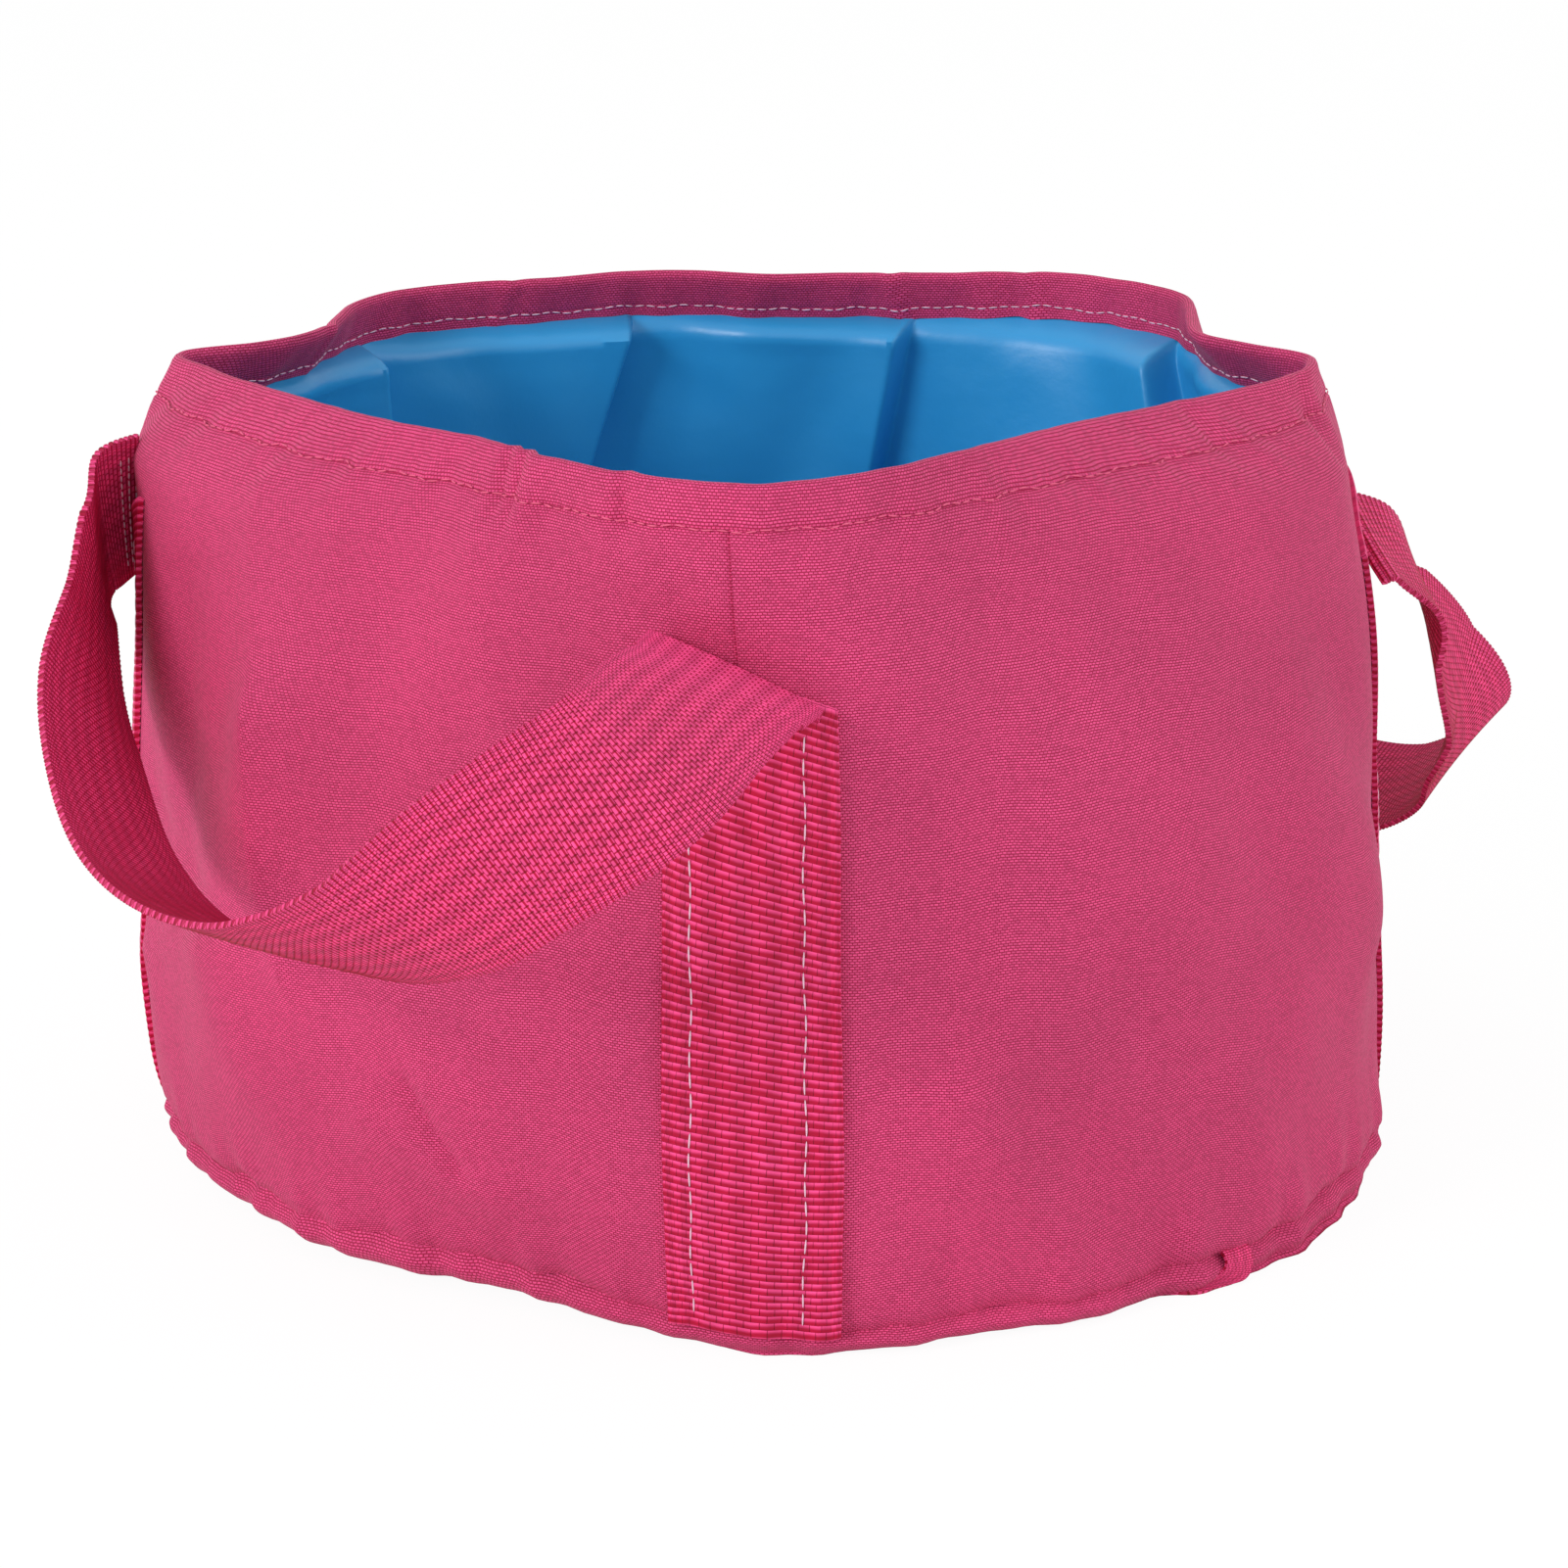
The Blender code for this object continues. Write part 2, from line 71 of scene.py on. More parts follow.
# Wall outline: azimuth, then the radius at the base seam, belly, shoulder and rim,
# as shares of the bucket's radius.
OUTLINE_SHARES = (
    (-172, 1.01, 1.05, 0.98, 0.91),
    (-165, 1.01, 1.05, 0.99, 0.93),
    (-155, 1.01, 1.05, 0.98, 0.92),
    (-145, 1.02, 1.06, 1.00, 0.96),
    (-136, 1.02, 1.07, 1.02, 0.98),
    (-129, 1.02, 1.07, 1.01, 0.95),
    (-121, 1.03, 1.06, 0.98, 0.88),
    (-113, 1.03, 1.06, 0.97, 0.85),
    (-105, 1.03, 1.06, 1.00, 0.90),
    (-99, 1.04, 1.06, 1.04, 0.99),
    (-90, 1.04, 1.06, 1.04, 0.90),
    (-78, 1.03, 1.04, 0.97, 0.79),
    (-64, 1.01, 1.03, 0.88, 0.72),
    (-52, 0.98, 1.05, 0.85, 0.69),
    (-38, 0.96, 1.01, 0.81, 0.68),
    (-24, 0.94, 1.00, 0.85, 0.75),
    (-11, 0.97, 1.02, 0.91, 0.83),
    (0, 1.01, 1.04, 0.94, 0.88),
    (11, 1.03, 1.05, 0.91, 0.82),
    (24, 1.03, 1.05, 0.86, 0.72),
    (38, 1.04, 1.06, 0.84, 0.66),
    (52, 1.04, 1.06, 0.86, 0.65),
    (66, 1.05, 1.07, 0.91, 0.70),
    (79, 1.06, 1.06, 0.97, 0.80),
    (90, 1.06, 1.06, 1.00, 0.93),
    (97, 1.05, 1.06, 1.01, 0.95),
    (105, 1.04, 1.06, 1.00, 0.88),
    (113, 1.03, 1.06, 0.97, 0.84),
    (122, 1.03, 1.06, 0.99, 0.92),
    (130, 1.02, 1.07, 1.03, 1.03),
    (138, 1.02, 1.07, 1.05, 1.06),
    (147, 1.02, 1.06, 1.04, 1.05),
    (158, 1.01, 1.05, 0.99, 0.95),
    (169, 1.01, 1.05, 0.96, 0.89),
    (180, 1.01, 1.05, 0.95, 0.86),
)

# Base: azimuth, seam height share, contact share of the seam radius
SEAM_SHARES = (
    (-150, 1.00, 0.90),
    (-90, 1.10, 0.88),
    (-60, 1.05, 0.84),
    (-25, 1.15, 0.78),
    (-8, 0.75, 0.94),
    (0, 0.60, 0.99),
    (14, 0.62, 0.955),
    (38, 0.68, 0.985),
    (58, 0.74, 1.010),
    (90, 0.80, 0.960),
    (150, 0.95, 0.90),
)

# Handle loops: azimuth, reach share beyond the strips, drop share below the heads and
# the roll of the webbing about its own line, in degrees from upright
LEFT_LOOP_SHARES = (
    (-1.3, -0.038, 0.030, 68.0),
    (-2.6, 0.22, 0.015, 66.0),
    (-3.8, 0.44, 0.010, 60.0),
    (-6.5, 0.83, 0.06, 40.0),
    (-12.5, 1.00, 0.21, -2.0),
    (-18.5, 0.94, 0.39, -44.0),
    (-26.0, 0.76, 0.51, -61.0),
    (-35.0, 0.58, 0.56, -65.0),
    (-44.5, 0.436, 0.563, -58.0),
    (-54.5, 0.30, 0.495, -48.0),
    (-65.0, 0.18, 0.365, -36.0),
    (-74.5, 0.080, 0.235, -15.0),
    (-81.0, 0.035, 0.100, -5.0),
    (-87.0, 0.005, 0.020, 3.0),
    (-91.0, -0.088, -0.005, 12.0),
)
RIGHT_LOOP_SHARES = (
    (90.0, -0.02, 0.08, -68.0),
    (91.3, 0.11, 0.14, -60.0),
    (93.5, 0.22, 0.32, -36.0),
    (98.0, 0.40, 0.54, -6.0),
    (104.0, 0.54, 0.78, 46.0),
    (112.0, 0.47, 0.96, 61.0),
    (122.0, 0.34, 1.00, 55.0),
    (132.5, 0.31, 0.97, 49.0),
    (142.5, 0.31, 0.89, 48.0),
    (152.5, 0.30, 0.76, 48.0),
    (161.5, 0.26, 0.58, 43.0),
    (169.5, 0.22, 0.36, 26.0),
    (176.0, 0.15, 0.11, -4.0),
    (181.0, 0.05, -0.05, -20.0),
)

# Creases of the shell: two ends (azimuth, height in mm), then how far out in mm, the
# width in mm and how sharp, from a soft swell (0) to a folded line (1)
CREASES = (
    (-88, 0, -58, 0, -2.8, 12, 0.2),
    (-47, 3, -35, 3, 2.2, 9, 0.2),
    (42, 10, 76, 12, 2.4, 14, 0.1),
    (-93, 150, -87, 60, -1.6, 17, 0.1),
    (91, 185, 91, 105, -1.9, 18, 0.1),
    (-63, 178, -52, 132, 1.3, 15, 0.9),
    (-52, 132, -45, 80, 2.1, 13, 0.9),
    (-78, 92, -47, 82, -1.4, 8, 0.6),
    (-47, 82, -74, 58, 1.3, 9, 0.7),
    (-72, 150, -66, 110, -1.3, 12, 0.2),
    (-31.4, 54, -27.0, 37, -1.6, 3, 0.8),
    (-36, 44, -24, 30, 1.1, 8, 0.2),
    (-21, 181, -2, 152, -1.6, 9, 0.3),
    (-30, 172, -22, 128, 1.4, 12, 0.3),
    (-14, 150, -12, 96, -1.1, 14, 0.1),
    (-31, 196, -29.5, 184, -1.3, 2.2, 0.7),
    (-28, 196, -27, 182, -1.5, 2.2, 0.7),
    (-13.5, 196, -12.5, 186, -1.1, 2.4, 0.6),
    (-2, 170, 16, 150, 1.0, 9, 0.2),
    (12, 176, 30, 150, -1.4, 10, 0.2),
    (17, 60, 30, 8, 1.4, 9, 0.2),
    (24, 56, 38, 10, -1.3, 9, 0.2),
    (44, 50, 54, 8, 1.3, 10, 0.2),
    (9, 48, 19, 8, -1.1, 8, 0.2),
    (88, 197, 83, 178, -1.0, 3, 0.6),
    (70, 196, 66, 184, -1.0, 3, 0.5),
    (58, 120, 70, 70, 1.3, 16, 0.2),
    (100, 150, 118, 60, -1.6, 16, 0.2),
    (124, 170, 130, 90, 1.9, 14, 0.5),
    (150, 170, 160, 100, -1.6, 16, 0.2),
    (164, 199, 163, 187, -1.3, 2.6, 0.6),
    (150, 198, 149, 186, -1.0, 3, 0.5),
    (-172, 160, -160, 80, 1.6, 16, 0.3),
    (-150, 198, -149, 187, -1.0, 3, 0.5),
    (-140, 165, -128, 90, -1.6, 15, 0.2),
    (-110, 170, -122, 90, 1.4, 14, 0.4),
    (-118, 197, -117, 184, -1.0, 3, 0.5),
)

# How much stronger than their tables the creases and waves are drawn
CREASE_GAIN = 1.6

# Waves in the shell: waves round the bucket, waves up its height, lag and height in mm
WAVES = (
    (5, 1.3, 0.4, 0.55), (9, -1.7, 2.1, 0.40), (14, 2.3, 4.0, 0.28), (23, -1.1, 1.2, 0.20),
    (31, 3.1, 5.1, 0.14),
)

# Crimps that sewing leaves: height in mm, waves round the bucket and lag
UNDER_RIM_CRIMPS = ((0.30, 41, 1.0), (0.22, 67, 0.3))
BY_SEAM_CRIMPS = ((0.28, 53, 2.0), (0.20, 83, 0.0))
WALL_EDGE_CRIMPS = ((0.9, 19, 1.0), (0.7, 37, 0.0))
BAND_CRIMPS = ((0.35, 97, 0.0), (0.30, 61, 1.0), (0.20, 151, 0.5))
STITCH_LINE_CRIMPS = ((0.25, 37, 0.0), (0.20, 90, 0.0))

# Azimuth where the base and the hem begin and end
RING_START = -172.0

# Overlapping tucks of the film: degrees to the left of the front, at the rim and 40 mm lower,
# how far in they stand in mm, and how far they reach, in degrees
TUCKS = (
    (131, 133.5, 7.0, 7.0),
    (164.6, 159.7, 6.0, 20.0),
    (197.8, 194.4, 6.0, 18.0),
    (229, 233, 7.5, 14.0),
    (262, 266, 4.0, 14.0),
    (300, 296, 4.5, 18.0),
    (338, 342, 4.0, 16.0),
    (22, 18, 4.0, 18.0),
    (58, 62, 4.5, 16.0),
    (96, 92, 4.0, 16.0),
)

# Webbing strips: azimuth, which way the top slopes, and how far below the head height
STRIPS = (("front_strap", 0.0, -1.0, 0.0052), ("right_strap", 90.0, 1.0, 0.0013),
          ("back_strap", 180.0, -1.0, 0.0013), ("left_strap", -90.0, 1.0, 0.0013))

# Webbing: columns across it, rows to a rib, and how closely the edges follow the ribs
WEBBING_COLUMNS = 18
RIB_ROWS = 4
EDGE_POWER = 12

# Fold by which a loop comes out of its strip: rows, turn in degrees and radius in metres
FOLD_ROWS = 12
FOLD_TURN = 100.0
FOLD_RADIUS = 0.0022

# Base pull loop: azimuth, height and stand beyond the seam of its two edges, from the seam
PULL_LOOP_EDGES = (
    ((46.4, 0.0098, -0.0030), (43.4, 0.0098, -0.0030)),
    ((46.4, 0.0072, 0.0006), (43.3, 0.0076, 0.0006)),
    ((46.2, 0.0034, 0.0016), (43.1, 0.0052, 0.0010)),
    ((45.2, 0.0008, 0.0014), (42.0, 0.0034, -0.0006)),
    ((42.4, 0.0006, 0.0004), (40.2, 0.0020, -0.0034)),
    ((38.8, 0.0006, -0.0022), (38.4, 0.0008, -0.0070)),
    ((35.5, 0.0006, -0.0060), (36.5, 0.0006, -0.0110)),
)
PULL_LOOP_TAPE = 0.0009

# Camera: the point it looks at, its distance, how far it looks down, and its lens in mm
CAMERA_AIM = (0.007, 0.0, 0.087)
CAMERA_DISTANCE = 0.91
CAMERA_FALL = 17.2
CAMERA_LENS = 81.24


class BucketSizes(bpy.types.PropertyGroup):
    """Sizes of the bucket and its materials"""

    height: FloatProperty(name="Height", description="Floor to rim", default=0.195,
                          unit="LENGTH")
    radius: FloatProperty(name="Radius", description="Nominal radius", default=0.150,
                          unit="LENGTH")
    back_rise: FloatProperty(name="Back rise", description="Rim's rise at the back",
                             default=0.004, unit="LENGTH")
    seam: FloatProperty(name="Base seam", description="Height of the seam over the floor",
                        default=0.010, unit="LENGTH")
    puff: FloatProperty(name="Band puff", description="How far the base band puffs out",
                        default=0.0025, unit="LENGTH")
    cloth: FloatProperty(name="Cloth", description="Shell cloth thickness", default=0.0008,
                         unit="LENGTH")
    film: FloatProperty(name="Film", description="Liner film thickness", default=0.0004,
                        unit="LENGTH")
    gap: FloatProperty(name="Gap", description="Gap that touching layers keep", default=0.00015,
                       unit="LENGTH")
    hem: FloatProperty(name="Hem", description="Depth of the hem inside the rim",
                       default=0.013, unit="LENGTH")
    stitch_line: FloatProperty(name="Stitch line", description="Hem stitches below the rim",
                               default=0.0098, unit="LENGTH")
    webbing: FloatProperty(name="Webbing", description="Webbing thickness", default=0.0014,
                           unit="LENGTH")
    webbing_width: FloatProperty(name="Webbing width", description="Width of strips and loops",
                                 default=0.038, unit="LENGTH")
    rib: FloatProperty(name="Rib pitch", description="Pitch of the webbing's cross ribs",
                       default=0.00142, unit="LENGTH")
    strip_rib: FloatProperty(name="Strip rib pitch", description="Pitch of a strip's cross ribs",
                             default=0.00185, unit="LENGTH")
    rib_rise: FloatProperty(name="Rib rise", description="Height of a cross rib",
                            default=0.00030, unit="LENGTH")
    head: FloatProperty(name="Head height", description="Where the loops leave the strips",
                        default=0.160, unit="LENGTH")
    head_slope: FloatProperty(name="Head slope", description="Rise of a fold across a strip",
                              default=0.0145, unit="LENGTH")
    standoff: FloatProperty(name="Head standoff", description="Loop's line beyond the strips",
                            default=0.0035, unit="LENGTH")
    turn: FloatProperty(name="Turn length", description="Length of a loop's bending end",
                        default=0.016, unit="LENGTH")
    reach: FloatProperty(name="Loop reach", description="How far the left loop stands out",
                         default=0.074, unit="LENGTH")
    drop: FloatProperty(name="Loop drop", description="How far the right loop hangs",
                        default=0.100, unit="LENGTH")
    stitch: FloatProperty(name="Stitch", description="Pitch of the hem's stitches", default=0.0032,
                          unit="LENGTH")
    strip_stitch: FloatProperty(name="Strip stitch", description="Pitch of a strip's stitches",
                                default=0.0047, unit="LENGTH")
    bartack_stitch: FloatProperty(name="Bartack stitch", description="Pitch of dense stitches",
                                  default=0.0021, unit="LENGTH")
    thread: FloatProperty(name="Thread", description="Radius of the thread", default=0.00022,
                          unit="LENGTH")
    tape: FloatProperty(name="Tape width", description="Width of the base pull loop",
                        default=0.010, unit="LENGTH")
    pull: FloatProperty(name="Pull loop", description="Length of the base pull loop",
                        default=0.028, unit="LENGTH")
    slack: FloatProperty(name="Film slack", description="How far the film hangs off the shell",
                         default=0.008, unit="LENGTH")
    travel: FloatProperty(name="Collapse", description="How far the rim sinks", default=0.138,
                          unit="LENGTH")


class BucketColours(bpy.types.PropertyGroup):
    """Colours of the cloth, film, webbing and thread"""

    shell: FloatVectorProperty(name="Shell", description="Oxford cloth", subtype="COLOR",
                               default=(0.810, 0.082, 0.252))
    # Painted shade: the darker colour laid between the cloth's yarns, where shade falls
    shell_painted_shade: FloatVectorProperty(name="Shell shade", description="Between the yarns",
                                     subtype="COLOR", default=(0.40, 0.012, 0.066))
    webbing: FloatVectorProperty(name="Webbing", description="Webbing yarns", subtype="COLOR",
                                 default=(0.98, 0.082, 0.290))
    # Painted shade: the deep red laid in the gaps between the webbing's ribs
    webbing_painted_shade: FloatVectorProperty(name="Webbing shade", description="Between the yarns",
                                       subtype="COLOR", default=(0.45, 0.001, 0.036))
    film: FloatVectorProperty(name="Film", description="Liner film", subtype="COLOR",
                              default=(0.024, 0.300, 0.640))
    thread_out: FloatVectorProperty(name="Outer thread", description="Pink thread",
                                    subtype="COLOR", default=(0.75, 0.10, 0.22))
    thread_in: FloatVectorProperty(name="Inner thread", description="Pale thread",
                                   subtype="COLOR", default=(0.78, 0.52, 0.64))


def sizes():
    """The bucket's sizes in this scene."""
    return bpy.context.scene.bucket_sizes


def colours():
    """The bucket's colours in this scene."""
    return bpy.context.scene.bucket_colours


# The wall

def spline(knots, values, places, period=0.0):
    """Smooth curve through values at knots; closed when a period is given."""
    knots = np.array(knots, float)
    values = np.array(values, float)
    places = np.asarray(places, float)
    if period:
        knots = np.concatenate([knots[-2:] - period, knots, knots[:2] + period])
        values = np.concatenate([values[-2:], values, values[:2]])
        places = (places - knots[2]) % period + knots[2]
    slopes = np.gradient(values, knots, axis=0)
    places = np.clip(places, knots[0], knots[-1])
    i = np.clip(np.searchsorted(knots, places, side="right") - 1, 0, len(knots) - 2)
    span = knots[i + 1] - knots[i]
    u = (places - knots[i]) / span
    if values.ndim > 1:
        u, span = u[..., None], span[..., None]
    return hermite(values[i], values[i + 1], slopes[i] * span, slopes[i + 1] * span, u)


def hermite(start, end, start_slope, end_slope, u):
    """Cubic between two values with the given slopes."""
    return (start * (2 * u**3 - 3 * u**2 + 1) + start_slope * (u**3 - 2 * u**2 + u)
            + end * (3 * u**2 - 2 * u**3) + end_slope * (u**3 - u**2))


def runs(points):
    """Length along a line of points, at each of them."""
    return np.concatenate([[0.0], np.cumsum(np.linalg.norm(np.diff(points, axis=0), axis=1))])


def crimps(table, azimuth):
    """Small waves round the bucket, in metres."""
    angle = np.radians(azimuth)
    return sum(tall * np.sin(waves * angle + lag) for tall, waves, lag in table) / 1000.0


def section_radii(azimuth):
    """Radii of the four wall sections at each azimuth."""
    table = np.array(OUTLINE_SHARES)
    return spline(table[:, 0], table[:, 1:], azimuth, 360.0) * sizes().radius


def seam_height(azimuth):
    """Height of the seam between the wall and the base."""
    table = np.array(SEAM_SHARES)
    return spline(table[:, 0], table[:, 1], azimuth, 360.0) * sizes().seam


def contact_radius(azimuth):
    """Radius at which the base leaves the floor."""
    table = np.array(SEAM_SHARES)
    return spline(table[:, 0], table[:, 2], azimuth, 360.0) * section_radii(azimuth)[:, 0]


def rim_height(azimuth):
    """Height of the rim, which stands a little higher at the back."""
    back = 0.5 - 0.5 * np.cos(np.radians(azimuth))
    return sizes().height + sizes().back_rise * back**3


def stitch_height(azimuth):
    """Height of the hem's stitch line."""
    return rim_height(azimuth) - sizes().stitch_line


def wall_radius(azimuth, height):
    """Radius of the shell's outer face, without its creases."""
    radii = section_radii(azimuth)
    knots = np.array(SECTION_HEIGHT_SHARES)
    rises = np.diff(radii, axis=1) / np.diff(knots)
    slopes = np.gradient(radii, knots, axis=1)
    before, after = rises[:, :-1], rises[:, 1:]
    turning = before * after <= 0.0
    total = np.where(turning, 1.0, before + after)
    slopes[:, 1:-1] = np.where(turning, 0.0, 2.0 * before * after / total)
    low = seam_height(azimuth)
    share = np.clip((height - low) / (rim_height(azimuth) - low), 0.0, 1.0)
    i = np.clip(np.searchsorted(knots, share, side="right") - 1, 0, len(knots) - 2)
    row = np.arange(len(share))
    span = knots[i + 1] - knots[i]
    u = (share - knots[i]) / span
    return hermite(radii[row, i], radii[row, i + 1], slopes[row, i] * span,
                   slopes[row, i + 1] * span, u)


def wall_radius_at(azimuth, height):
    """The same for a single spot."""
    return float(wall_radius(np.array([azimuth]), np.array([height]))[0])


def turned(angle):
    """An angle brought to within half a turn of zero."""
    return (angle + 180.0) % 360.0 - 180.0


def relief(azimuth, height):
    """How far the creases and waves of the cloth stand out."""
    size = sizes()
    out = np.zeros_like(azimuth)
    for az0, low, az1, high, depth, width, sharp in CREASES:
        run = np.array([math.radians(az1 - az0) * size.radius * 1000.0, high - low])
        x = np.radians(turned(azimuth - az0)) * size.radius * 1000.0
        y = height * 1000.0 - low
        length = float(np.hypot(*run))
        along = (x * run[0] + y * run[1]) / length
        off = np.abs(x * run[1] - y * run[0]) / length
        past = np.maximum(np.maximum(-along, along - length), 0.0)
        soft = np.exp(-(off / width)**2)
        folded = np.exp(-off / (0.8 * width))
        fade = np.exp(-(past / (0.6 * width + 2.0))**2)
        out += depth * ((1.0 - sharp) * soft + sharp * folded) * fade
    rise = height / size.height
    angle = np.radians(azimuth)
    middle = np.sin(np.pi * np.clip(rise, 0.0, 1.0))**0.7
    for around, up, lag, tall in WAVES:
        out += tall * middle * np.sin(around * angle + up * 2 * np.pi * rise + lag)
    out /= 1000.0
    under_rim = np.exp(-((stitch_height(azimuth) - height) / 0.007)**2)
    by_seam = np.exp(-((height - size.seam) / 0.012)**2)
    out += under_rim * crimps(UNDER_RIM_CRIMPS, azimuth) + by_seam * crimps(BY_SEAM_CRIMPS, azimuth)
    return CREASE_GAIN * out


def polar(radius, azimuth, height):
    """Points at radii, azimuths and heights."""
    angle = np.radians(azimuth)
    return np.stack([radius * np.sin(angle), -radius * np.cos(angle),
                     height + 0.0 * angle], axis=1)


def wall(azimuth, height, out=0.0):
    """Points of the shell's outer face, moved off it by out."""
    azimuth, height = np.broadcast_arrays(np.asarray(azimuth, float), np.asarray(height, float))
    turn, rise = 0.8, 0.002

    def face(a, h):
        return polar(wall_radius(a, h) + relief(a, h), a, h)
    along = face(azimuth + turn, height) - face(azimuth - turn, height)
    top = np.minimum(height + rise, rim_height(azimuth))
    upwards = face(azimuth, top) - face(azimuth, top - 2 * rise)
    normal = np.cross(along, upwards)
    normal /= np.linalg.norm(normal, axis=1)[:, None]
    return face(azimuth, height) + normal * np.broadcast_to(out, azimuth.shape)[:, None]


# Building pieces

def deselect():
    """Nothing selected."""
    bpy.ops.object.select_all(action="DESELECT")


def apply_modifier(piece, kind, **settings):
    """Add a modifier with its settings and apply it."""
    added = piece.modifiers.new(kind.title(), kind)
    for key, value in settings.items():
        setattr(added, key, value)
    bpy.context.view_layer.objects.active = piece
    bpy.ops.object.modifier_apply(modifier=added.name)


def sheet_grid(name, columns, rows, place, thick, side=-1.0, ring=False, flip=False,
               flat=(1.0, 1.0), lengths=None):
    """A grid laid out by place(across, up) and given its thickness.

    flat is the sheet's size in metres, for its pattern, and lengths the run up it at each row
    where the rows are uneven.
    """
    deselect()
    bpy.ops.mesh.primitive_grid_add(x_subdivisions=columns, y_subdivisions=rows, size=1.0)
    piece = bpy.context.object
    piece.name = piece.data.name = name
    mesh = piece.data
    spots = np.empty(len(mesh.vertices) * 3)
    mesh.vertices.foreach_get("co", spots)
    spots = spots.reshape(-1, 3)
    laid = place(spots[:, 0] + 0.5, spots[:, 1] + 0.5)
    mesh.vertices.foreach_set("co", np.asarray(laid, float).ravel())
    pattern = np.empty(len(mesh.loops) * 2)
    mesh.uv_layers[0].uv.foreach_get("vector", pattern)
    pattern = pattern.reshape(-1, 2)
    if lengths is not None:
        pattern[:, 1] = np.interp(pattern[:, 1], np.linspace(0.0, 1.0, len(lengths)),
                                  lengths / lengths[-1])
    pattern = pattern * np.array(flat)
    mesh.uv_layers[0].uv.foreach_set("vector", pattern.ravel())
    bpy.ops.object.mode_set(mode="EDIT")
    bpy.ops.mesh.select_all(action="SELECT")
    if ring:
        bpy.ops.mesh.remove_doubles(threshold=0.00002)
    if flip:
        bpy.ops.mesh.flip_normals()
    bpy.ops.object.mode_set(mode="OBJECT")
    apply_modifier(piece, "SOLIDIFY", thickness=thick, offset=side)
    bpy.ops.object.shade_smooth_by_angle(angle=math.radians(50))
    return piece


def stitch_row(name, points, finish, pitch):
    """A row of stitches along points: one stitch, repeated and bent along a line."""
    half_long = 0.41 * pitch
    radius = sizes().thread
    count = max(int(runs(points)[-1] / pitch), 1)
    path = bpy.data.curves.new(name + "_line", "CURVE")
    path.dimensions = "3D"
    line = path.splines.new("POLY")
    line.points.add(len(points) - 1)
    for spot, point in zip(line.points, points):
        spot.co = (*point, 1.0)
    carrier = bpy.data.objects.new(name + "_line", path)
    bpy.context.scene.collection.objects.link(carrier)
    deselect()
    bpy.ops.mesh.primitive_uv_sphere_add(segments=6, ring_count=5, radius=1.0)
    piece = bpy.context.object
    piece.name = piece.data.name = name
    spots = np.empty(len(piece.data.vertices) * 3)
    piece.data.vertices.foreach_get("co", spots)
    spots = spots.reshape(-1, 3)[:, [2, 1, 0]] * np.array([half_long, radius, -radius])
    spots[:, 0] += pitch / 2
    piece.data.vertices.foreach_set("co", spots.ravel())
    apply_modifier(piece, "ARRAY", use_relative_offset=False, use_constant_offset=True,
                   constant_offset_displace=(pitch, 0.0, 0.0), count=count)
    apply_modifier(piece, "CURVE", object=carrier, deform_axis="POS_X")
    bpy.data.objects.remove(carrier)
    piece.data.shade_smooth()
    dress(piece, finish)
    return piece


def dress(piece, finish):
    """Give a piece one material."""
    piece.data.materials.clear()
    piece.data.materials.append(bpy.data.materials[finish])


def sink(piece):
    """A piece of the wall: attached to the base, with a mesh of its own."""
    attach(piece, "base")
    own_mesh(piece)


# Materials

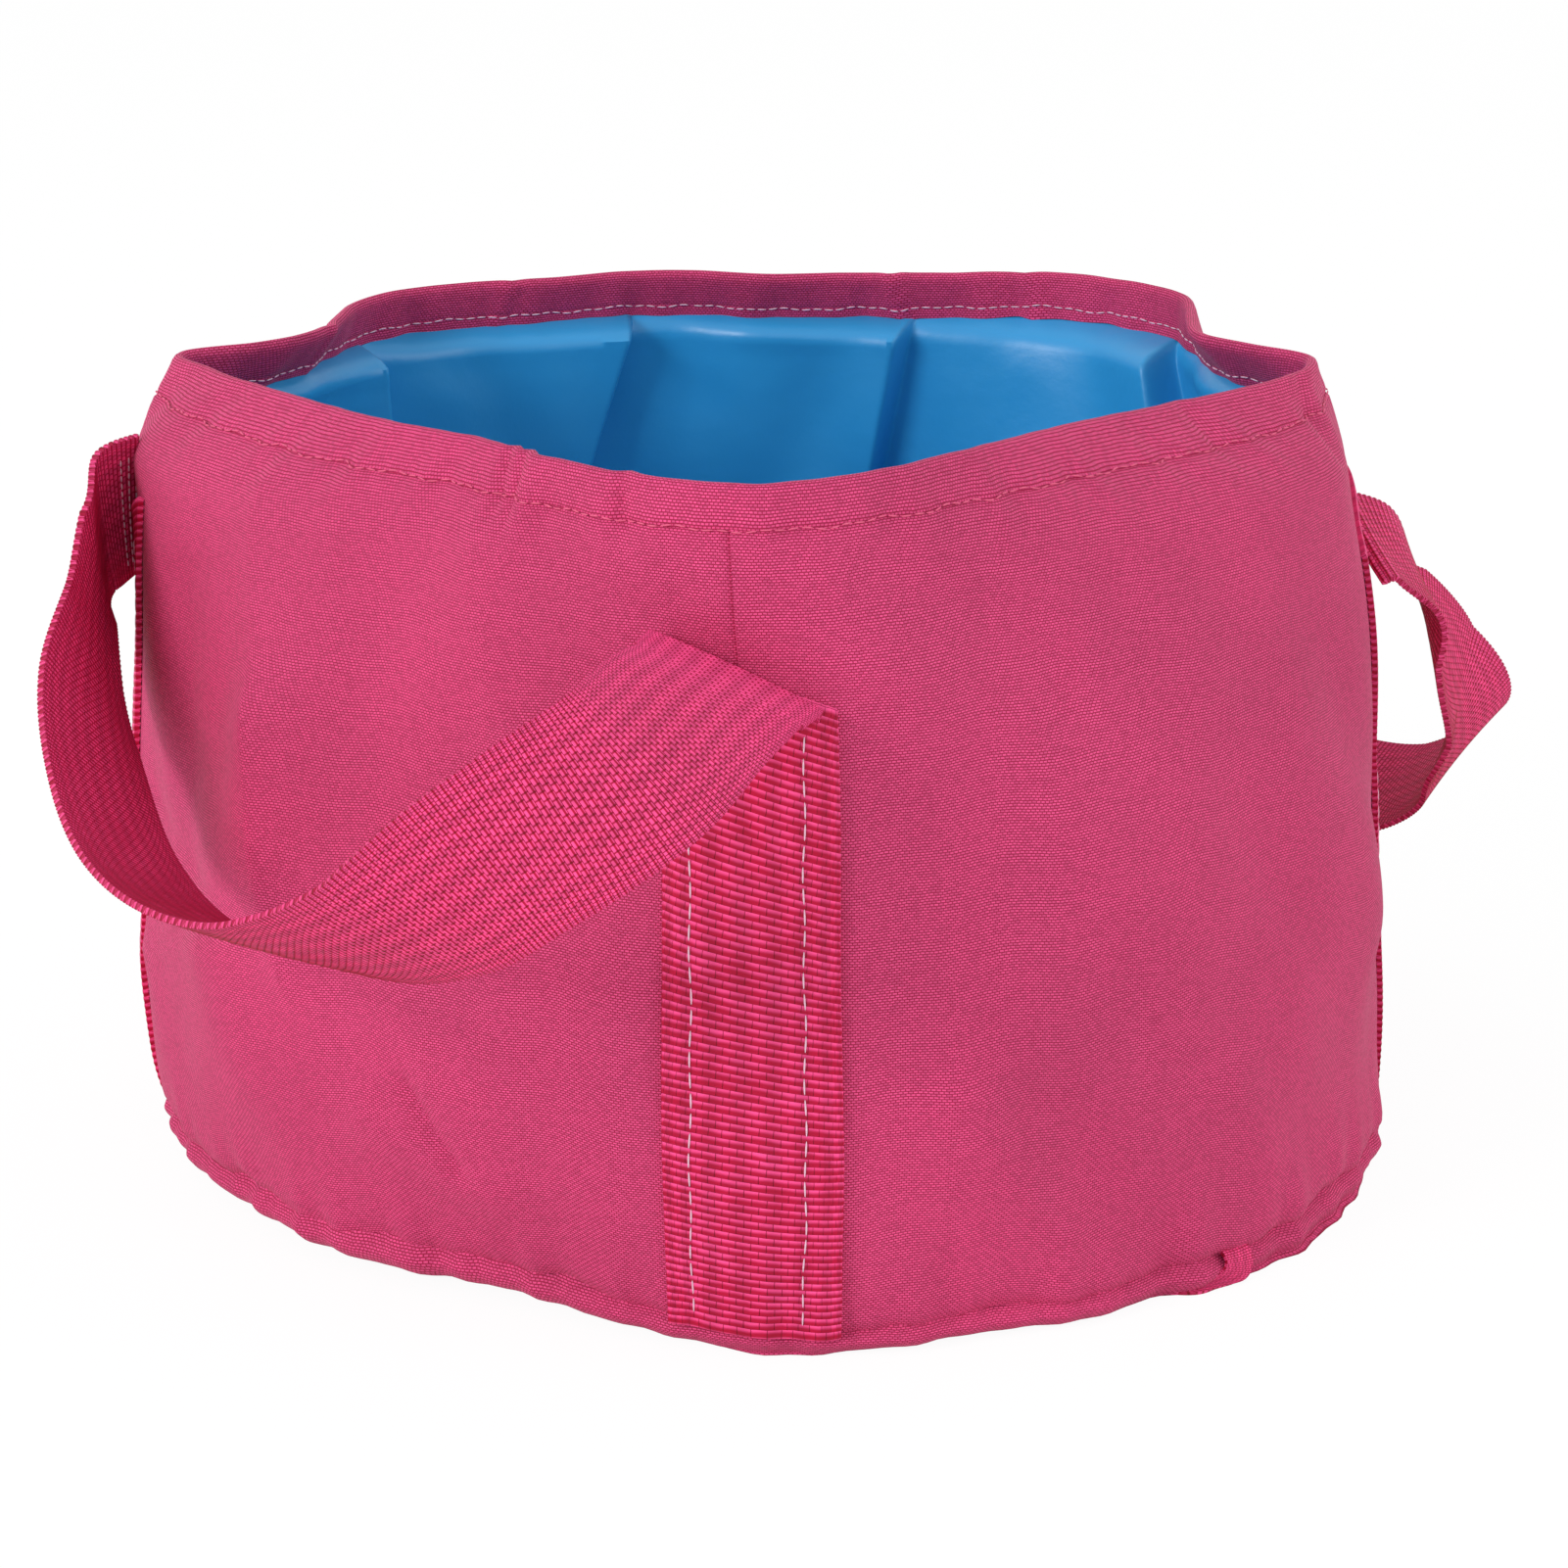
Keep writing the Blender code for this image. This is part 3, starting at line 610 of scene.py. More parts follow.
class Nodes:
    """A material's shader nodes, laid out left to right."""

    def __init__(self, name, rough):
        made = bpy.data.materials.new(name)
        made.use_nodes = True
        self.tree = made.node_tree
        self.shader = self.tree.nodes["Principled BSDF"]
        self.shader.inputs["Roughness"].default_value = rough
        self.across = 0

    def add(self, kind, **values):
        """A node of a kind, with values for its settings and its sockets."""
        node = self.tree.nodes.new(kind)
        self.across -= 60
        node.location = (self.across - 200, 150 - self.across % 480)
        for key, value in values.items():
            if key in node.inputs:
                node.inputs[key].default_value = value
            else:
                setattr(node, key, value)
        return node

    def join(self, start, end):
        """Link two sockets."""
        self.tree.links.new(start, end)

    def pattern(self, scale, wander=0.0):
        """The piece's own pattern coordinates, in steps of one over scale metres."""
        spot = self.add("ShaderNodeTexCoord")
        sized = self.add("ShaderNodeMapping", Scale=(scale, scale, scale))
        self.join(spot.outputs["UV"], sized.inputs["Vector"])
        if not wander:
            return sized.outputs["Vector"]
        noise = self.add("ShaderNodeTexNoise", Scale=0.35, Detail=2.0)
        self.join(sized.outputs["Vector"], noise.inputs["Vector"])
        moved = self.add("ShaderNodeVectorMath", operation="MULTIPLY_ADD")
        moved.inputs[1].default_value = (wander, wander, wander)
        self.join(noise.outputs["Color"], moved.inputs[0])
        self.join(sized.outputs["Vector"], moved.inputs[2])
        return moved.outputs["Vector"]

    def blotches(self, scale, low, high, detail=3.0):
        """Noise on the piece in place, mapped to a range."""
        spot = self.add("ShaderNodeTexCoord")
        noise = self.add("ShaderNodeTexNoise", Scale=scale, Detail=detail)
        self.join(spot.outputs["Object"], noise.inputs["Vector"])
        ranged = self.add("ShaderNodeMapRange")
        for key, value in (("From Min", 0.3), ("From Max", 0.7), ("To Min", low),
                           ("To Max", high)):
            ranged.inputs[key].default_value = value
        self.join(noise.outputs["Fac"], ranged.inputs["Value"])
        return ranged.outputs["Result"]

    def tint(self, colour, amount):
        """A colour made lighter or darker by an amount."""
        mixed = self.add("ShaderNodeMix", data_type="RGBA", blend_type="MULTIPLY")
        mixed.inputs["Factor"].default_value = 1.0
        self.join(colour, mixed.inputs["A"])
        self.join(amount, mixed.inputs["B"])
        return mixed.outputs["Result"]

    def bump(self, height, depth, strength=1.0, invert=False, after=None):
        """A bump of a depth in metres."""
        node = self.add("ShaderNodeBump", Strength=strength, Distance=depth, invert=invert)
        self.join(height, node.inputs["Height"])
        if after:
            self.join(after, node.inputs["Normal"])
        return node.outputs["Normal"]

    def finish(self, colour, normal=None):
        """Join the colour and the bump to the shader."""
        self.join(colour, self.shader.inputs["Base Color"])
        if normal:
            self.join(normal, self.shader.inputs["Normal"])


def shell_cloth_material():
    """Oxford cloth: paired yarns in a basket weave with painted shade between them, a little sheen
    and soft blotches.
    """
    tone = colours()
    nodes = Nodes("oxford_cloth", 0.78)
    millimetres = 1000.0
    place = nodes.pattern(millimetres, wander=0.35)
    weave = nodes.add("ShaderNodeTexBrick", offset=0.5, offset_frequency=2, Scale=1.0)
    weave.inputs["Color1"].default_value = (*tone.shell, 1.0)
    weave.inputs["Color2"].default_value = (*[0.66 * part for part in tone.shell], 1.0)
    # The mortar between the yarns is painted shade
    weave.inputs["Mortar"].default_value = (*tone.shell_painted_shade, 1.0)
    for key, value in (("Mortar Size", 0.13), ("Mortar Smooth", 0.5), ("Bias", -0.3),
                       ("Brick Width", 1.05), ("Row Height", 0.62)):
        weave.inputs[key].default_value = value
    nodes.join(place, weave.inputs["Vector"])
    fuzz = nodes.blotches(900.0, 0.0, 1.0)
    soft = nodes.blotches(18.0, 0.92, 1.07)
    colour = nodes.tint(weave.outputs["Color"], soft)
    normal = nodes.bump(weave.outputs["Fac"], 0.00030, 1.0, invert=True)
    normal = nodes.bump(fuzz, 0.00003, 0.6, after=normal)
    nodes.shader.inputs["Sheen Weight"].default_value = 0.09
    nodes.shader.inputs["Sheen Roughness"].default_value = 0.4
    nodes.shader.inputs["Specular IOR Level"].default_value = 0.18
    nodes.finish(colour, normal)


def webbing_material(name, pitch, wide, gap, cut, wander):
    """Woven webbing: rounded ribs with painted deep red shade in the gaps, each cut into floats.

    wide is a float's length in pitches, gap how soft the painted shade between ribs is, cut the
    width of the painted shade between floats, and wander how far the pattern strays, all in
    pitches.
    """
    tone = colours()
    nodes = Nodes(name, 0.62)
    place = nodes.pattern(1.0 / pitch, wander=wander)
    floats = nodes.add("ShaderNodeTexBrick", offset=0.5, offset_frequency=2, Scale=1.0)
    floats.inputs["Color1"].default_value = (1.0, 1.0, 1.0, 1.0)
    floats.inputs["Color2"].default_value = (0.82, 0.78, 0.80, 1.0)
    # The mortar between the floats is painted shade
    floats.inputs["Mortar"].default_value = (0.42, 0.03, 0.14, 1.0)
    for key, value in (("Mortar Size", cut), ("Mortar Smooth", 0.9), ("Bias", -0.2),
                       ("Brick Width", wide), ("Row Height", 1.0)):
        floats.inputs[key].default_value = value
    nodes.join(place, floats.inputs["Vector"])
    rows = nodes.add("ShaderNodeTexWave", wave_type="BANDS", bands_direction="Y",
                     Scale=0.31416)
    rows.inputs["Phase Offset"].default_value = math.pi
    nodes.join(place, rows.inputs["Vector"])
    rib = nodes.add("ShaderNodeMapRange", interpolation_type="SMOOTHSTEP")
    rib.inputs["From Min"].default_value = 0.02
    rib.inputs["From Max"].default_value = gap
    nodes.join(rows.outputs["Fac"], rib.inputs["Value"])
    # Painted shade in the grooves between ribs, the webbing's own colour on the ribs
    ribbed = nodes.add("ShaderNodeMix", data_type="RGBA")
    ribbed.inputs["A"].default_value = (*tone.webbing_painted_shade, 1.0)
    ribbed.inputs["B"].default_value = (*tone.webbing, 1.0)
    nodes.join(rib.outputs["Result"], ribbed.inputs["Factor"])
    cords = nodes.add("ShaderNodeTexWave", wave_type="BANDS", bands_direction="X",
                      Scale=0.13, Distortion=0.6)
    nodes.join(place, cords.inputs["Vector"])
    banded = nodes.add("ShaderNodeMapRange")
    banded.inputs["To Min"].default_value = 0.82
    banded.inputs["To Max"].default_value = 1.04
    nodes.join(cords.outputs["Fac"], banded.inputs["Value"])
    colour = nodes.tint(nodes.tint(ribbed.outputs["Result"], floats.outputs["Color"]),
                        banded.outputs["Result"])
    normal = nodes.bump(floats.outputs["Fac"], 0.00018, 0.8, invert=True)
    yarn = nodes.blotches(1400.0, 0.0, 1.0)
    normal = nodes.bump(yarn, 0.00006, 0.6, after=normal)
    nodes.shader.inputs["Specular IOR Level"].default_value = 0.22
    nodes.finish(colour, normal)


def film_material():
    """Coated liner film: smooth and half glossy, with faint wrinkles and clouding."""
    tone = colours()
    nodes = Nodes("liner_film", 0.38)
    base = nodes.add("ShaderNodeRGB")
    base.outputs[0].default_value = (*tone.film, 1.0)
    cloud = nodes.blotches(9.0, 0.90, 1.08)
    colour = nodes.tint(base.outputs[0], cloud)
    fine = nodes.blotches(60.0, 0.0, 1.0, detail=5.0)
    grain = nodes.blotches(1600.0, 0.0, 1.0)
    normal = nodes.bump(fine, 0.0006, 0.35)
    normal = nodes.bump(grain, 0.00002, 0.4, after=normal)
    gloss = nodes.blotches(25.0, 0.32, 0.46)
    nodes.join(gloss, nodes.shader.inputs["Roughness"])
    nodes.shader.inputs["Specular IOR Level"].default_value = 0.5
    nodes.finish(colour, normal)


def thread_material(name, colour):
    """Sewing thread: twisted, with a faint light and dark along the twist."""
    nodes = Nodes(name, 0.55)
    base = nodes.add("ShaderNodeRGB")
    base.outputs[0].default_value = (*colour, 1.0)
    twist = nodes.blotches(2500.0, 0.85, 1.08)
    nodes.finish(nodes.tint(base.outputs[0], twist), nodes.bump(twist, 0.00005, 0.5))


# The shell

def build_shell_panel(name, first, last):
    """Half of the wall: up from the base seam and on behind the hem to just below the rim."""
    size = sizes()
    on_top = first + last > 0
    columns, rows = 300, 92
    layer = size.cloth + size.gap

    def place(across, up):
        azimuth = first + (last - first) * across
        low = seam_height(azimuth) + crimps(WALL_EDGE_CRIMPS, azimuth) - 0.0003
        top = rim_height(azimuth) - 0.003
        height = low + (top - low) * up
        behind = np.clip((height - stitch_height(azimuth) + 0.0004) / 0.0012, 0.0, 1.0)
        # At both seams the left panel goes under the right one, whose edge stands up a little
        if on_top:
            past = np.maximum(-azimuth, azimuth - 180.0)
            from_seam = np.radians(np.abs(past)) * size.radius
            lap = 0.0002 * np.exp(-from_seam / 0.003)
        else:
            past = np.maximum(azimuth, -180.0 - azimuth)
            lap = -np.clip(past / 0.7 + 0.8, 0.0, 1.0) * layer
        # The lower edge rolls in, and near the rim the front seam drifts to the left
        roll = -0.0020 * np.exp(-((height - low) / 0.0022)**2)
        high = np.clip((height - 0.125) / 0.07, 0.0, 1.0)
        seam_drift = 2.2 * high * np.exp(-(azimuth / 20.0)**2)
        return wall(azimuth - seam_drift, height, lap - layer * behind + roll)
    piece = sheet_grid(name, columns, rows, place, size.cloth,
                       flat=(math.pi * size.radius, size.height))
    dress(piece, "oxford_cloth")
    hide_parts(name)
    sink(piece)


def base_points(azimuth, up):
    """Points of the base's underside, from the seam (0) round under the band to the middle."""
    top = seam_height(azimuth) + 0.0015
    creased = relief(azimuth, seam_height(azimuth))
    seam = section_radii(azimuth)[:, 0] + creased
    contact = contact_radius(azimuth) + 0.9 * creased
    tuck = (seam - contact) / seam
    puff = sizes().puff * (1.0 - 6.0 * np.maximum(tuck - 0.08, 0.0))
    band = 0.75
    knots = band * np.array([0.0, 1 / 3, 2 / 3, 1.0])
    # From behind the wall's edge, out with the puff of the band, and in to the floor
    radii = np.stack([seam - 0.0026, seam - 0.0007 + 0.5 * puff,
                      seam - 0.0010 - 0.25 * (seam - contact), contact], axis=1)
    heights = top[:, None] * np.array([1.0, 0.55, 0.12, 0.0])
    radius, height = [np.array([spline(knots, row, u) for row, u in
                                zip(table, np.minimum(up, band))]) for table in (radii, heights)]
    under = np.clip((up - band) / (1.0 - band), 0.0, 1.0)
    radius = (radius + np.exp(-(up / 0.3)**2) * crimps(BAND_CRIMPS, azimuth)) * (1.0 - under)
    return polar(radius, azimuth, np.maximum(height, 0.0))


def build_shell_base():
    """Round base: flat on the floor, puffed out and up to the wall's seam."""
    size = sizes()
    columns, rows = 360, 40

    def place(across, up):
        return base_points(RING_START + 360.0 * across, up)
    sample = 40.0
    lengths = runs(base_points(np.full(rows + 1, sample), np.linspace(0.0, 1.0, rows + 1)))
    piece = sheet_grid("shell_base", columns, rows, place, size.cloth, ring=True, flip=True,
                       flat=(2 * math.pi * size.radius, lengths[-1]), lengths=lengths)
    dress(piece, "oxford_cloth")
    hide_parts("shell_base")
    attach(piece, "base")


def build_rim_hem():
    """The shell's top edge turned in over the liner, with its stitches inside and outside."""
    size = sizes()
    inner = 3 * size.cloth + size.film + 3 * size.gap
    line = size.stitch_line
    # Depth below the rim and depth behind the shell's face, from the outer stitch line up,
    # over the rim and down inside, with a dimple at the stitches
    profile = np.array([
        (line + 0.0001, 0.0009), (line - 0.0004, 0.00035), (line - 0.0010, 0.0001),
        (line - 0.0022, 0.0), (0.0060, 0.0), (0.0045, 0.0), (0.0030, 0.0), (0.0018, 0.00005),
        (0.0009, 0.0003), (0.0003, 0.0009), (0.0, inner / 2), (0.0003, inner - 0.0009),
        (0.0009, inner - 0.0003), (0.0018, inner), (0.0035, inner), (0.0055, inner),
        (line - 0.0018, inner), (line - 0.0006, inner - 0.0001), (line, inner - 0.0003),
        (line + 0.0006, inner - 0.0001), (line + 0.0016, inner), (size.hem, inner)])
    columns, rows = 640, len(profile) - 1

    def place(across, up):
        azimuth = RING_START + 360.0 * across
        drop, back = profile[np.rint(up * rows).astype(int)].T
        return wall(azimuth, rim_height(azimuth) - drop, -back)
    piece = sheet_grid("rim_hem", columns, rows, place, size.cloth, ring=True,
                       flat=(2 * math.pi * size.radius, line + size.hem), lengths=runs(profile))
    dress(piece, "oxford_cloth")
    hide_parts("rim_hem")
    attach(piece, "rim")
    around = np.linspace(RING_START, RING_START + 360.0, 900)
    line_height = stitch_height(around) + crimps(STITCH_LINE_CRIMPS, around)
    for name, out, finish in (("rim_stitches_outside", 0.00005, "thread_out"),
                              ("rim_stitches_inside", -inner - 0.00005, "thread_in")):
        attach(stitch_row(name, wall(around, line_height, out), finish, size.stitch), "rim")


# The liner

def film_places(across):
    """Azimuths of the film's columns, crowded where the tucks are."""
    fine = np.linspace(0.0, 360.0, 3601)
    dense = np.ones_like(fine)
    for top, _low, _depth, _span in TUCKS:
        dense += 9.0 * np.exp(-(turned(fine - top) / 1.1)**2)
    run = np.concatenate([[0.0], np.cumsum(0.5 * (dense[1:] + dense[:-1]))])
    return np.interp(across * run[-1], run, fine)


def film_face(left_turn, height):
    """Points of the film: caught in the hem, slack and tucked below it, drawn in at the floor."""
    size = sizes()
    fall = np.clip((0.185 - height) / 0.040, -0.3, 2.5)
    moved = left_turn.copy()
    inward = np.zeros_like(left_turn)
    # Each tuck folds sharply over on one side and fades away on the other
    for top, low, depth, span in TUCKS:
        off = turned(left_turn - top)
        moved = moved + (low - top) * fall * np.exp(-(off / 13.0)**2)
        over = 1.0 / (1.0 + np.exp(np.clip(off / 0.16, -40, 40)))
        inward += depth * over * np.exp(np.minimum(off, 0.0) / span)
        inward -= 0.75 * depth * (1.0 - over) * np.exp(-np.maximum(off, 0.0) / (0.7 * span))
    azimuth = -moved
    angle = np.radians(azimuth)
    ripple = 0.5 * np.sin(17 * angle + height * 60) + 0.35 * np.sin(29 * angle - height * 90)
    # Held by the hem, the film comes off the shell within a few millimetres below it
    hem = rim_height(azimuth) - size.hem
    free = np.clip((hem - height) / (hem - 0.0015), 0.0, 1.0)
    swell = np.sin(0.5 * np.pi * np.minimum(free / 0.035, 1.0))**0.8
    slack = np.maximum(size.slack + (inward + ripple) / 1000.0, 0.0016) * swell
    caught = -2 * (size.cloth + size.gap)
    face = wall(azimuth, np.maximum(height, seam_height(azimuth)), caught)
    reach = np.hypot(face[:, 0], face[:, 1])
    # Down at the floor it is drawn in, clear of the base and its band
    contact = contact_radius(azimuth)
    above = np.clip(height / 0.02, 0.0, 1.0)**0.5
    radius = np.minimum(reach - slack, contact - 0.002 + 0.5 * above)
    drawn = np.minimum(contact - size.seam / 2 - 0.0005, radius)
    radius = radius * above + drawn * (1.0 - above)
    behind_band = np.clip((seam_height(azimuth) + 0.010 - height) / 0.008, 0.0, 1.0)
    radius = radius - 0.0045 * behind_band
    face[:, :2] *= (radius / reach)[:, None]
    face[:, 2] = np.where(height < face[:, 2] - 1e-6, height, face[:, 2])
    return face


def build_liner():
    """Film wall, its top caught in the hem, and the film floor welded to it."""
    size = sizes()
    on_base = size.cloth + 0.0003
    girth = 2 * math.pi * size.radius

    def wall_place(across, up):
        left_turn = film_places(1.0 - across)
        top = rim_height(-left_turn) - 0.0026
        low = on_base + size.film
        return film_face(left_turn, low + (top - low) * (1.0 - (1.0 - up)**1.25))
    piece = sheet_grid("liner_wall", 560, 74, wall_place, size.film, ring=True,
                       flat=(girth, size.height))
    dress(piece, "liner_film")
    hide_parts("liner_wall")
    sink(piece)

    def floor_place(across, up):
        azimuth = -360.0 * (1.0 - across)
        reach = (contact_radius(azimuth) - size.seam) * (1.0 - up)
        angle = np.radians(azimuth)
        wave = 0.5 + 0.5 * np.sin(5 * angle + 30 * reach) * np.sin(60 * reach + 1.0)
        lift = 0.0012 * wave * np.sin(np.pi * np.clip(up, 0, 1))
        return polar(reach, azimuth, on_base + lift)
    floor = sheet_grid("liner_floor", 240, 30, floor_place, size.film, side=1.0, ring=True,
                       flat=(girth, size.radius))
    dress(floor, "liner_film")
    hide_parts("liner_floor")
    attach(floor, "base")


# Webbing

def ribs(run, pitch):
    """Rounded cross ribs along a run, with a groove between two of them."""
    along = (run / pitch) % 1.0
    return sizes().rib_rise * (1.0 - (2.0 * along - 1.0)**2)


def crowd(across):
    """Columns across the webbing, closer at its edges; from -1 to 1."""
    return np.sin(0.5 * np.pi * (2.0 * across - 1.0))


def build_strip(name, azimuth, rising, lowered):
    """Webbing strip sewn up the wall, with its two rows of stitches."""
    size = sizes()
    count = round((size.head - size.seam) / size.strip_rib)
    long = count * size.strip_rib
    half = size.webbing_width / 2
    middle = wall_radius_at(azimuth, size.height / 2)
    off_wall = 0.0002

    def spot(lean, up, out):
        turn = azimuth + np.degrees(half * lean / middle)
        low = seam_height(turn) + 0.0002
        high = size.head - lowered + size.head_slope / 2 * np.clip(lean, -1, 1) * rising
        return wall(turn, low + (high - low) * up, out)

    def place(across, up):
        lean = crowd(across)
        bulge = ribs(up * long, size.strip_rib)
        edge = np.abs(lean)**EDGE_POWER
        lean = lean * (1.0 + edge * (bulge - size.rib_rise / 2) / half)
        return spot(lean, up, off_wall + bulge - off_wall * edge)
    piece = sheet_grid(name, WEBBING_COLUMNS, RIB_ROWS * count, place, size.webbing, side=1.0,
                       flat=(size.webbing_width, long))
    dress(piece, "strip_webbing")
    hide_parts(name)
    sink(piece)
    up = np.linspace(0.02, 0.97, 160)
    for tag, lean in (("left", -0.69), ("right", 0.60)):
        points = spot(lean + 0.012 * np.sin(up * 40), up, size.webbing + size.rib_rise + off_wall)
        sink(stitch_row(f"{name}_stitches_{tag}", points, "thread_in", size.strip_stitch))


class LoopLine:
    """Line of a handle loop: its middle, its width and how it faces, at each run."""

    STRIP_FACE = 0.0019

    def __init__(self, shares):
        size = sizes()
        azimuth, reach, drop, roll = np.array(shares).T
        along = (azimuth - azimuth[0]) / (azimuth[-1] - azimuth[0])
        start, end = [wall_radius_at(azimuth[k], size.head) + self.STRIP_FACE for k in (0, -1)]
        radius = (1 - along) * start + along * end + size.standoff + reach * size.reach
        points = polar(radius, azimuth, size.head - drop * size.drop)
        knots = runs(points)
        fine = np.linspace(0.0, knots[-1], 1200)
        smooth = spline(knots, points, fine)
        run = runs(smooth)
        self.length = run[-1]
        self.even = np.linspace(0.0, self.length, 801)
        self.middle = np.stack([np.interp(self.even, run, smooth[:, k]) for k in range(3)], axis=1)
        roll = spline(knots, roll, np.interp(self.even, run, fine))
        ahead = np.gradient(self.middle, axis=0)
        self.ahead = ahead / np.linalg.norm(ahead, axis=1)[:, None]
        upright = np.array([0.0, 0.0, 1.0]) - self.ahead * self.ahead[:, 2:3]
        upright /= np.linalg.norm(upright, axis=1)[:, None]
        side = np.cross(self.ahead, upright)
        angle = np.radians(roll)[:, None]
        self.width = upright * np.cos(angle) + side * np.sin(angle)
        self.face = np.cross(self.ahead, self.width)
        self.shown = 1.0 if self.face[0, 2] > 0 else -1.0

    def at(self, run, table):
        """Rows of a table at runs along the line."""
        return np.stack([np.interp(run, self.even, table[:, k]) for k in range(3)], axis=1)

    def spots(self, run, lean, out):
        """Points at runs along the line, lean across the webbing and out of its face."""
        middle, width, face = [self.at(run, t) for t in (self.middle, self.width, self.face)]
        width /= np.linalg.norm(width, axis=1)[:, None]
        half = sizes().webbing_width / 2
        cup = 0.0006 * (lean**2 - 0.4)
        return middle + width * (lean * half)[:, None] + face * (out + cup)[:, None]


def loop_rows(line, first, last):
    """Pitch of the ribs and the count of rows between two runs."""
    pitch = line.length / round(line.length / sizes().rib)
    return pitch, RIB_ROWS * max(round((last - first) / pitch), 1)


def ribbon_place(line, first, last, pitch):
    """Layout of a length of ribbed webbing between two runs of a loop."""
    half = sizes().webbing_width / 2

    def place(across, up):
        run = first + (last - first) * up
        lean = crowd(across)
        bulge = ribs(run, pitch) - sizes().rib_rise / 2
        edge = np.abs(lean)**EDGE_POWER
        return line.spots(run, lean * (1.0 + edge * bulge / half), line.shown * bulge)
    return place


def build_ribbon(name, line, first, last):
    """A length of ribbed webbing between two runs of a loop."""
    pitch, rows = loop_rows(line, first, last)
    piece = sheet_grid(name, WEBBING_COLUMNS, rows, ribbon_place(line, first, last, pitch),
                       sizes().webbing, side=0.0,
                       flat=(sizes().webbing_width, rows / RIB_ROWS * sizes().rib))
    dress(piece, "ribbed_webbing")
    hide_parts(name)
    return piece


def build_folded_end(name, line, last):
    """The end of a loop with the rounded fold by which it comes out of its strip."""
    size = sizes()
    pitch, rows = loop_rows(line, 0.0, last)
    total = rows + FOLD_ROWS
    laid = ribbon_place(line, 0.0, last, pitch)
    out = line.ahead[0]
    width = line.width[0]
    upwards = np.cross(out, width)
    upwards *= 1.0 if upwards[2] > 0 else -1.0

    def place(across, up):
        row = up * total
        on_loop = np.maximum(row - FOLD_ROWS, 0.0) / rows
        angle = np.clip(1.0 - row / FOLD_ROWS, 0.0, 1.0)[:, None] * math.radians(FOLD_TURN)
        rib = np.where(row < FOLD_ROWS, ribs((FOLD_ROWS - row) * pitch / RIB_ROWS, pitch), 0.0)
        bend = FOLD_RADIUS + rib[:, None]
        curl = -out * (bend * np.sin(angle)) + upwards * (bend * np.cos(angle) - FOLD_RADIUS)
        # The webbing is pressed a little wider where it is folded
        spread = 0.08 * np.exp(-on_loop * last / 0.020) * size.webbing_width / 2
        return laid(across, on_loop) + curl + width * (crowd(across) * spread)[:, None]
    piece = sheet_grid(name, WEBBING_COLUMNS, total, place, size.webbing, side=0.0,
                       flat=(size.webbing_width, total / RIB_ROWS * size.rib))
    dress(piece, "ribbed_webbing")
    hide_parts(name)
    return piece


def bartack(name, line, body):
    """Three dense rows of stitches across a loop's last end, through to its strip."""
    lean = np.linspace(-0.8, 0.8, 40)
    for row in range(3):
        run = np.full_like(lean, line.length - 0.004) + 0.0025 * (row - 1)
        points = line.spots(run, lean, sizes().webbing / 2 + 0.00035)
        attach(stitch_row(f"{name}_{row + 1}", points, "thread_in", sizes().bartack_stitch), body)


def build_loop(side, shares, first_end, last_end):
    """A handle loop folded out of one strip and round to the next, and the ends it bends by.
    """
    line = LoopLine(shares)
    pitch, _rows = loop_rows(line, 0.0, 1.0)
    turn = pitch * round(sizes().turn / pitch)
    anchors, handle = f"{side}_anchors", f"{side}_handle"
    start = build_folded_end(f"{handle}_{first_end}_turn", line, turn)
    end = build_ribbon(f"{handle}_{last_end}_turn", line, line.length - turn, line.length)
    loop = build_ribbon(handle, line, turn, line.length - turn)
    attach(loop, handle)
    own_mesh(loop)
    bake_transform(start)
    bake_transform(end)
    return line


def build_pull_loop():
    """Narrow tape out of the base seam: down over the band, then curled in under the base."""
    edges = np.array(PULL_LOOP_EDGES)

    def place(across, up):
        knots = np.linspace(0.0, 1.0, len(edges))
        one, other = [spline(knots, edges[:, k], up) for k in (0, 1)]
        spot = one + (other - one) * across[:, None]
        edge = section_radii(spot[:, 0])[:, 0] + relief(spot[:, 0], seam_height(spot[:, 0]))
        return polar(edge + spot[:, 2], spot[:, 0], spot[:, 1])
    piece = sheet_grid("base_pull_loop", 8, 120, place, PULL_LOOP_TAPE, side=0.0,
                       flat=(sizes().tape, sizes().pull))
    dress(piece, "ribbed_webbing")
    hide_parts("base_pull_loop")
    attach(piece, "base")


# Operators

class BUCKET_OT_materials(bpy.types.Operator):
    """Make the cloth, webbing, film and thread materials"""

    bl_idname = "bucket.materials"
    bl_label = "Materials"

    def execute(self, context):
        shell_cloth_material()
        webbing_material("ribbed_webbing", pitch=sizes().rib, wide=0.84, gap=0.14, cut=0.15,
                         wander=0.14)
        webbing_material("strip_webbing", pitch=sizes().strip_rib, wide=1.1, gap=0.90, cut=0.04,
                         wander=0.30)
        film_material()
        thread_material("thread_out", colours().thread_out)
        thread_material("thread_in", colours().thread_in)
        return {"FINISHED"}


class BUCKET_OT_shell(bpy.types.Operator):
    """Build the two wall panels and the base of the shell"""

    bl_idname = "bucket.shell"
    bl_label = "Shell"

    def execute(self, context):
        build_shell_panel("shell_panel_right", 0.0, 180.0)
        build_shell_panel("shell_panel_left", -181.2, 1.2)
        build_shell_base()
        return {"FINISHED"}


class BUCKET_OT_hem(bpy.types.Operator):
    """Build the rim hem and its stitches"""

    bl_idname = "bucket.hem"
    bl_label = "Rim hem"

    def execute(self, context):
        build_rim_hem()
        return {"FINISHED"}


class BUCKET_OT_liner(bpy.types.Operator):
    """Build the film liner's wall and floor"""

    bl_idname = "bucket.liner"
    bl_label = "Film liner"

    def execute(self, context):
        build_liner()
        return {"FINISHED"}


